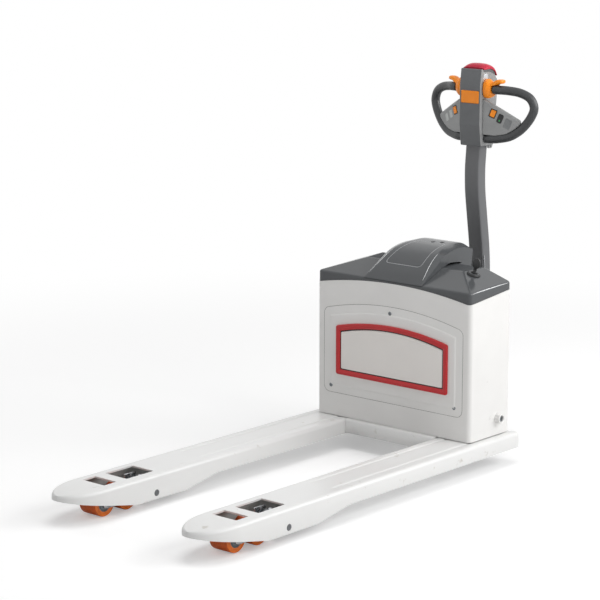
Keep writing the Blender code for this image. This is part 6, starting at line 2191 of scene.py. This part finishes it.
    def _arm(self) -> Object:
        """Bent rectangular tube with rounded edges, rising from its bored boss.

        Returns:
            The finished object.
        """
        y0, z0 = self.pivot
        top = self.head_bottom - 0.0003
        path = smooth_path([(0.0, y0 - forward, z0 + share * (top - z0))
                            for share, forward in self.bends], 5)
        rings = []
        for index, point in enumerate(path):
            before, after = path[max(index - 1, 0)], path[min(index + 1, len(path) - 1)]
            along = (after - before).normalized()
            depth = self.arm_depth
            normal = Vector((0.0, along.z, -along.y))
            if index in (0, len(path) - 1):
                normal = Vector((0.0, 1.0, 0.0))
            if index < 3:
                depth = 0.037 + 0.002 * index
            outline = rounded(rectangle(self.arm_half, depth / 2), self.arm_corner, 5)
            rings.append([placed(x, point.y + normal.y * v, point.z + normal.z * v)
                          for x, v in outline])
        arm = Shell().loft(rings).piece("tiller_arm_shown")
        axis = sideways((0.0, y0, z0))
        end, radius = self.arm_half, self.boss_radius
        line = both_ends([(0.0004, end), (radius - 0.001, end), (radius, end - 0.001)])
        boss = Shell().turned(line, axis, 56).piece("arm_boss")
        return carved(combined(arm, [boss], Joining.FUSE),
                      [drum("arm_bore", self.arm_bore, -0.1, 0.1, axis)])

    def _belly_place(self, line: Sequence[Flat], drop: float = 0.0) -> list[Flat]:
        """Turn the belly switch's own outline into places at the head's top."""
        return [(self.belly_front + back, self.belly_low + up - drop) for back, up in line]

    def _head(self) -> Object:
        """The head's moulded body with pockets for the belly switch and the horn.

        Returns:
            The finished object.
        """
        outline = rounded(self.head_outline, self.head_corner, 4)
        head = Shell().slab(outline, 2 * self.head_half, self.head_corner, sideways(), 5).piece(
            "control_head_shown")
        floor = [(back - (0.0009 if back > 0.032 else 0.0005), up - 0.0012)
                 for back, up in self.belly_floor]
        above = [(0.072, -0.022), (0.072, 0.056), (-0.0005, 0.056)]
        pocket = prism("belly_pocket", self._belly_place(floor + above, 0.006), -0.039, 0.039,
                       sideways())
        horn = rounded(rectangle(0.0365, 0.021, (0.0, self.horn_z)), 0.0035)
        recess = prism("horn_pocket", horn, 0.380, 0.4065, facing())
        return two_toned(carved(head, [pocket, recess], SOFTER_ANGLE), HEAD_GREY, WING_GREY,
                         lambda face: abs(face.normal.x) > 0.30 and face.center.z > 0.985)

    def _belly(self) -> Object:
        """The domed cap of the belly switch, wider than its stem in the head.

        Returns:
            The finished object.
        """
        outline = rounded(self._belly_place(self.belly_floor + self.belly_over), 0.004, 4)
        stem = Shell().slab(outline, 2 * self.stem_half, 0.0012, sideways(), 3).piece(
            "belly_switch_shown")
        low, dome = smooth_path(self.belly_lip, 5), smooth_path(self.belly_dome, 5)
        rings = []
        for step in range(-18, 19):
            share = math.sin(math.pi / 2 * step / 18)
            x = self.belly_half * share
            swell = 0.30 + 0.70 * math.sqrt(1 - abs(share) ** 2.6)
            ring = [placed(x, self.belly_front + at.x, self.belly_low + at.y) for at in low]
            for at, foot in reversed(list(zip(dome, low))):
                spot = foot + (at - foot) * swell
                ring.append(placed(x, self.belly_front + spot.x, self.belly_low + spot.y))
            rings.append(ring)
        cap = Shell().loft(rings).piece("belly_cap")

        def is_stem(face: MeshPolygon) -> bool:
            """Whether a face belongs to the stem under the cap's lip.

            Args:
                face: the face to judge.

            Returns:
                True where it does.
            """
            y, z = face.center.y - BOX_FRONT_Y - self.belly_front, face.center.z - self.belly_low
            rim = between([(at.x, at.y) for at in low], y)
            return z < rim - 0.0004 and abs(face.center.x) < self.stem_half + 0.0002

        return two_toned(combined(stem, [cap], Joining.FUSE, SOFTER_ANGLE), BELLY_RED, HEAD_GREY,
                         is_stem)

    def _horn(self) -> Object:
        """The blank horn button, softly pillowed.

        Returns:
            The finished object.
        """
        outline = soft_rectangle(0.036, 0.0205, 0.0040, (0.0, self.horn_z))
        levels = [(0.0006, 0.4030), (0.0, 0.4024), (0.0, 0.3962), (0.0004, 0.3952),
                  (0.0012, 0.3946), (0.0030, 0.3942), (0.0070, 0.3940), (0.0120, 0.3940)]
        return Shell().relief(outline, levels, facing()).piece("horn_button_shown", SOFTEST_ANGLE)

    def _side_trim(self) -> Object:
        """The bright plates let into both sides of the head, beside the throttle.

        Returns:
            The finished object.
        """
        outline = rounded([(0.4070, 1.1800), (0.4330, 1.1780), (0.4330, 1.2060),
                           (0.4125, 1.2062)], 0.003)
        trim = Shell()
        for side in SIDES.values():
            place = sideways((side * (self.head_half + 0.0002), 0, 0))
            trim.slab(outline, 0.0016, 0.0004, place, 2)
        return trim.piece("head_side_trim")

    def _knob(self) -> Object:
        """The round boss on the head's rear.

        Returns:
            The finished object.
        """
        axis = basis((1, 0, 0), (0, 0, 1), (0, 1, 0), (0.018, 0.482, 1.117))
        line = ((0.0004, -0.004), (0.0165, -0.004), (0.0165, 0.010), (0.0155, 0.0145),
                (0.0120, 0.0172), (0.0060, 0.0178), (0.0004, 0.0178))
        return Shell().turned(line, axis).piece("head_rear_boss")

    def _tab(self) -> Object:
        """The small holed lug under the head, on its right.

        Returns:
            The finished object.
        """
        x, corners = 0.0340, [(0.452, 0.9715), (0.452, 0.9600), (0.470, 0.9590), (0.478, 0.9760)]
        lug = Shell().slab(rounded(corners, 0.004), 0.006, 0.0008, sideways((x, 0, 0)), 2).piece(
            "cable_lug")
        hole = drum("lug_hole", 0.0030, -0.01, 0.01, sideways((x, 0.464, 0.9660)), 24)
        return carved(lug, [hole])

    def _grip(self, name: str, side: int) -> Object:
        """The looped grip in its rubber sleeve, with a collar at either end.

        Args:
            name: the piece's name.
            side: -1 for the left one, 1 for the right one.

        Returns:
            The finished object.
        """
        start = self.throttle_outer + 0.0045
        line = [(start, self.throttle_y, self.throttle_z),
                (start + 0.016, self.throttle_y + 0.003, self.throttle_z)]
        line += [(x, self.grip_y + self.slant * x, z) for x, z in self.grip_line]
        path = [placed(side * p.x, p.y, p.z) for p in smooth_path(line, 8)]
        x, z = self.grip_line[-1]
        path.append(placed(side * self.wing_foot[0], self.grip_y + self.slant * x, z))

        def flare(share: float) -> float:
            """Radius along the loop: a chamfer at the throttle, then a fine sleeve step.

            Args:
                share: share of the loop's length.

            Returns:
                The scale of the radius.
            """
            if share < 0.006:
                return 0.90
            return 1.0 if share < 0.045 or share > 0.965 else 0.992

        grip = Shell().tube(path, self.grip_radius, 28, flare)
        near, far = (side * end for end in self.spigot)
        grip.turned([(0.0004, near), (0.0070, near), (0.0070, far), (0.0004, far)],
                    sideways((0.0, self.throttle_y, self.throttle_z)), 32)
        return grip.piece(name)

    def _wing_basis(self, side: int, x: float = 0.0, z: float = 0.0, depth: float = 0.0,
                    tilt: float = 0.0) -> Matrix:
        """Matrix at a place on a wing, its thickness running back from the front face.

        Args:
            side: -1 for the left one, 1 for the right one.
            x: distance from the truck's middle.
            z: height.
            depth: how far behind the wing's face.
            tilt: how far it leans, in radians.

        Returns:
            A matrix from outline space to the frame.
        """
        turn = math.atan(self.slant)
        across = Vector((side * math.cos(turn), math.sin(turn), 0.0))
        back = Vector((-side * math.sin(turn), math.cos(turn), 0.0))
        up = Vector((0.0, 0.0, 1.0))
        first = across * math.cos(tilt) - up * math.sin(tilt)
        second = across * math.sin(tilt) + up * math.cos(tilt)
        at = Vector((side * x, self.wing_y + self.slant * x, z)) + back * depth
        return basis(first, second, back, at)

    def _control_spot(self, side: int, x: float, z: float) -> Matrix:
        """Matrix at a place on a wing's face, leaning as the switches do."""
        return self._wing_basis(side, x, z, 0.0, self.switch_tilt)

    def _wing_outline(self) -> list[Flat]:
        """The wing's outline, following the inside of the grip.

        Returns:
            The closed outline.
        """
        corners = list(self.wing_top)
        for index in (5, 6, 7, 8):
            before, at, after = (Vector(point) for point in self.grip_line[index - 1:index + 2])
            along = (after - before).normalized()
            spot = at + Vector((along.y, -along.x)) * (self.grip_radius - 0.0045)
            corners.append((spot.x, spot.y))
        corners.append(self.wing_foot)
        stretch = math.sqrt(1 + self.slant ** 2)
        return [(x * stretch, z) for x, z in corners]

    def _wing(self, name: str, side: int) -> Object:
        """The slanted switch panel with a rounded rim and a pocket for its rocker.

        Args:
            name: the piece's name.
            side: -1 for the left one, 1 for the right one.

        Returns:
            The finished object.
        """
        outline = rounded(self._wing_outline(), 0.007, 4)
        place = self._wing_basis(side, depth=self.wing_thickness / 2)
        wing = Shell().slab(outline, self.wing_thickness, 0.0036, place, 4).piece(name)
        half_width, half_height = (half + self.switch_play for half in self.switch_half)
        pocket = prism("switch_pocket", rectangle(half_width, half_height), -0.01, 0.0063,
                       self._control_spot(side, *self.switch_at))
        return carved(wing, [pocket], SOFTER_ANGLE)

    def _throttle(self, name: str, side: int) -> Object:
        """Butterfly lobe round the spigot with its thumb tab.

        Args:
            name: the piece's name.
            side: -1 for the left one, 1 for the right one.

        Returns:
            The finished object.
        """
        middle = side * (self.throttle_inner + self.throttle_outer) / 2
        turns = [math.tau * step / self.lobe_sides for step in range(self.lobe_sides)]

        def squared(share: float) -> float:
            """A sine or cosine pushed outwards, for a section between oval and square."""
            return math.copysign(abs(share) ** self.lobe_squareness, share)

        rings = []
        for x, low, high, deep, ahead in self.lobe:
            middle_z, half = self.throttle_z + (low + high) / 2, (high - low) / 2
            rings.append([placed(side * x, self.throttle_y + ahead + deep * squared(math.cos(turn)),
                                 middle_z + half * squared(math.sin(turn))) for turn in turns])
        piece = Shell().loft(rings).piece(name)
        bore = drum(name + "_bore", 0.0075, -0.05, 0.05,
                    sideways((middle, self.throttle_y, self.throttle_z)), 40)
        beside = sideways((side * (self.throttle_outer + 0.0305), self.throttle_y, self.throttle_z))
        relief = drum(name + "_relief", self.grip_radius + 0.0042, -0.03, 0.03, beside)
        return carved(piece, [bore, relief], SOFTER_ANGLE)

    def _switch(self, name: str, side: int) -> Object:
        """Orange rocker, its face dished between two rounded ends.

        Args:
            name: the piece's name.
            side: -1 for the left one, 1 for the right one.

        Returns:
            The finished object.
        """
        outline = soft_rectangle(*self.switch_half, 0.0022)
        levels = [(0.0004, 0.0045), (0.0, 0.0041), (0.0, -0.0014), (0.0004, -0.0021),
                  (0.0012, -0.0025), (0.0024, -0.0025), (0.0032, -0.0021), (0.0046, -0.0019)]
        spot = self._control_spot(side, *self.switch_at)
        return Shell().relief(outline, levels, spot).piece(name, SOFTEST_ANGLE)

    def _bezels(self, name: str, side: int) -> Object:
        """Black frame round the rocker, and on the right the charge gauge's housing.

        Args:
            name: the piece's name.
            side: -1 for the left one, 1 for the right one.

        Returns:
            The finished object.
        """
        rim = Shell().relief(
            soft_rectangle(0.0116, 0.0146, 0.0036),
            [(0.0, 0.0006), (0.0, -0.0004), (0.0005, -0.0009), (0.0022, -0.0009),
             (0.0028, -0.0005), (0.0028, 0.0006)],
            self._control_spot(side, *self.switch_at), caps=False)
        if side > 0:
            rim.relief(soft_rectangle(0.0092, 0.0152, 0.0050),
                       [(0.0, 0.0008), (0.0, -0.0004), (0.0006, -0.0011), (0.0018, -0.0011),
                        (0.0026, -0.0006), (0.0050, -0.0006)],
                       self._control_spot(side, *self.gauge_at))
        return rim.piece(name)

    def _blanks(self, name: str, side: int) -> Object:
        """Blank covers of the unused switch places.

        Args:
            name: the piece's name.
            side: -1 for the left one, 1 for the right one.

        Returns:
            The finished object.
        """
        plates = Shell()
        for x, z, half, tall in self.right_blanks if side > 0 else self.left_blanks:
            plates.relief(soft_rectangle(half, tall, 0.0040),
                          [(0.0, 0.0008), (0.0, -0.0001), (0.0005, -0.0006), (0.0014, -0.0006),
                           (0.0022, -0.0003), (0.0040, -0.0003)], self._control_spot(side, x, z))
        return plates.piece(name)

    def _gauge(self) -> Object:
        """The charge gauge's green lamp.

        Returns:
            The finished object.
        """
        outline = soft_rectangle(0.0022, 0.0030, 0.0012, (0.0, -0.0070))
        levels = [(0.0, 0.0002), (0.0, -0.0008), (0.0004, -0.0011), (0.0010, -0.0011)]
        spot = self._control_spot(SIDES["right"], *self.gauge_at)
        return Shell().relief(outline, levels, spot).piece("gauge_lamp")


# ---- Studio ------------------------------------------------------------------------------------
@dataclass
class Studio:
    """Pale floor, soft lights, white surroundings and the camera."""

    camera_at: Place = (4.3708, -5.1109, 1.9505)
    azimuth: float = 41.034
    elevation: float = 11.578
    lens: float = 134.8
    fill: float = 0.24
    lamps_aim: Place = (0.0, -0.2, 0.4)
    lamps: tuple[tuple[str, Place, float, Flat, float], ...] = (
        ("key_softbox", (0.80, 0.10, 0.55), 5.0, (3.2, 3.2), 0.24),
        ("rim_softbox", (0.66, 0.58, 0.46), 4.5, (2.4, 1.6), 0.34),
        ("side_softbox", (0.96, -0.10, 0.22), 5.0, (2.6, 1.4), 0.15),
        ("top_softbox", (0.05, 0.05, 1.0), 4.5, (3.0, 3.0), 0.37),
        ("front_softbox", (-0.20, -0.95, 0.30), 6.0, (3.0, 3.0), 0.06),
        ("left_softbox", (-0.85, 0.10, 0.45), 6.0, (3.0, 3.0), 0.14))
    mirrored_lamps: tuple[str, ...] = ("key_softbox", "rim_softbox")
    floor_radius: float = 9.0
    floor_lift: float = 0.33
    floor_fade: Flat = (1.2, 3.6)

    def build(self) -> None:
        """Set up the whole studio."""
        self._floor()
        self._world()
        for name, direction, distance, size, glow in self.lamps:
            self._softbox(name, Vector(direction).normalized(), distance, size, glow)
        self._camera()

    def _softbox(self, name: str, direction: Vector, distance: float, size: Flat,
                 glow: float) -> None:
        """Hang one flat lamp, pointed at the middle of the truck.

        Args:
            name: the lamp's name.
            direction: where it hangs, seen from there.
            distance: how far away.
            size: its width and height.
            glow: how brightly it lights a white surface facing it, 1 being full white.
        """
        light = bpy.data.lights.new(name, "AREA")
        light.shape = "RECTANGLE"
        light.size, light.size_y = size
        light.energy = glow * math.pi ** 2 * distance ** 2
        lamp = linked(name, light)
        lamp.location = Vector(self.lamps_aim) + direction * distance
        lamp.rotation_euler = (-direction).to_track_quat("-Z", "Y").to_euler()
        lamp.visible_glossy = name in self.mirrored_lamps

    def _floor(self) -> Object:
        """A pale floor that fades into the white surroundings.

        Returns:
            The finished object.
        """
        outline = arc((0.0, 0.0), self.floor_radius, 0.0, 355.0, 71)
        floor = Shell().relief(outline, ((0.0, -0.02), (0.004, -0.0006)), lying()).piece(
            "studio_floor")
        material = bpy.data.materials.new("pale_floor")
        material.use_nodes = True
        tree = material.node_tree
        tree.nodes.remove(tree.nodes["Principled BSDF"])
        own = wired(tree, "ShaderNodeTexCoord", {}, "Object")
        grain = wired(tree, "ShaderNodeTexNoise", {"Scale": 30.0, "Vector": own})
        tone = wired(tree, "ShaderNodeMix", {0: grain, 6: (0.800, 0.800, 0.800, 1.0),
                                             7: (0.825, 0.825, 0.825, 1.0)}, 2, data_type="RGBA")
        matt = wired(tree, "ShaderNodeBsdfDiffuse", {"Color": tone})
        seen = wired(tree, "ShaderNodeLightPath", {}, "Is Camera Ray")
        strength = wired(tree, "ShaderNodeMath", {0: seen, 1: self.floor_lift},
                         operation="MULTIPLY")
        lift = wired(tree, "ShaderNodeEmission", {"Strength": strength})
        lit = wired(tree, "ShaderNodeAddShader", {0: matt, 1: lift})
        away = wired(tree, "ShaderNodeVectorMath", {0: own}, "Value", operation="LENGTH")
        near, far = self.floor_fade
        fade = wired(tree, "ShaderNodeMapRange", {"From Min": near, "From Max": far, "Value": away},
                     "Result", interpolation_type="SMOOTHSTEP")
        white = wired(tree, "ShaderNodeEmission", {"Strength": 1.0})
        faded = wired(tree, "ShaderNodeMixShader", {0: fade, 1: lit, 2: white})
        tree.links.new(faded, tree.nodes["Material Output"].inputs["Surface"])
        floor.data.materials.append(material)
        return floor

    def _world(self) -> None:
        """White surroundings: full white to the eye and in reflections, softer as light."""
        world = bpy.data.worlds.new("white_surroundings")
        world.use_nodes = True
        bpy.context.scene.world = world
        tree = world.node_tree
        back = tree.nodes["Background"]
        back.inputs["Color"].default_value = (1.0, 1.0, 1.0, 1.0)
        rays = tree.nodes.new("ShaderNodeLightPath").outputs
        seen = rays["Is Camera Ray"]
        for kind in ("Is Glossy Ray", "Is Transmission Ray"):
            seen = wired(tree, "ShaderNodeMath", {0: seen, 1: rays[kind]}, operation="MAXIMUM")
        level = wired(tree, "ShaderNodeMapRange", {"To Min": self.fill, "To Max": 1.0,
                                                   "Value": seen}, "Result")
        tree.links.new(level, back.inputs["Strength"])

    def _camera(self) -> None:
        """The camera, three quarters from the front and a little above."""
        data = bpy.data.cameras.new("main_camera")
        data.lens = self.lens
        data.sensor_width = 36.0
        data.dof.use_dof = False
        camera = linked("main_camera", data)
        camera.location = self.camera_at
        camera.rotation_euler = (math.radians(90 - self.elevation), 0.0,
                                 math.radians(self.azimuth))
        bpy.context.scene.camera = camera
        bpy.context.scene.view_settings.view_transform = "Standard"


# ---- The truck ---------------------------------------------------------------------------------
def main() -> None:
    """Build and dress every sub-assembly, set up the studio and log each piece's face count."""
    logging.basicConfig(level=logging.INFO, format="%(name)s: %(message)s")
    fasteners = Fasteners.ready()
    for group in (ForkFrame(), BatteryBox(fasteners), TopCover(), LoadGear(),
                  PowerPack(fasteners), Chassis(fasteners), DriveUnit(fasteners), Tiller()):
        LOG.info("building %s", type(group).__name__)
        group.dress(group.build())
    Studio().build()


if __name__ == "__main__":
    main()
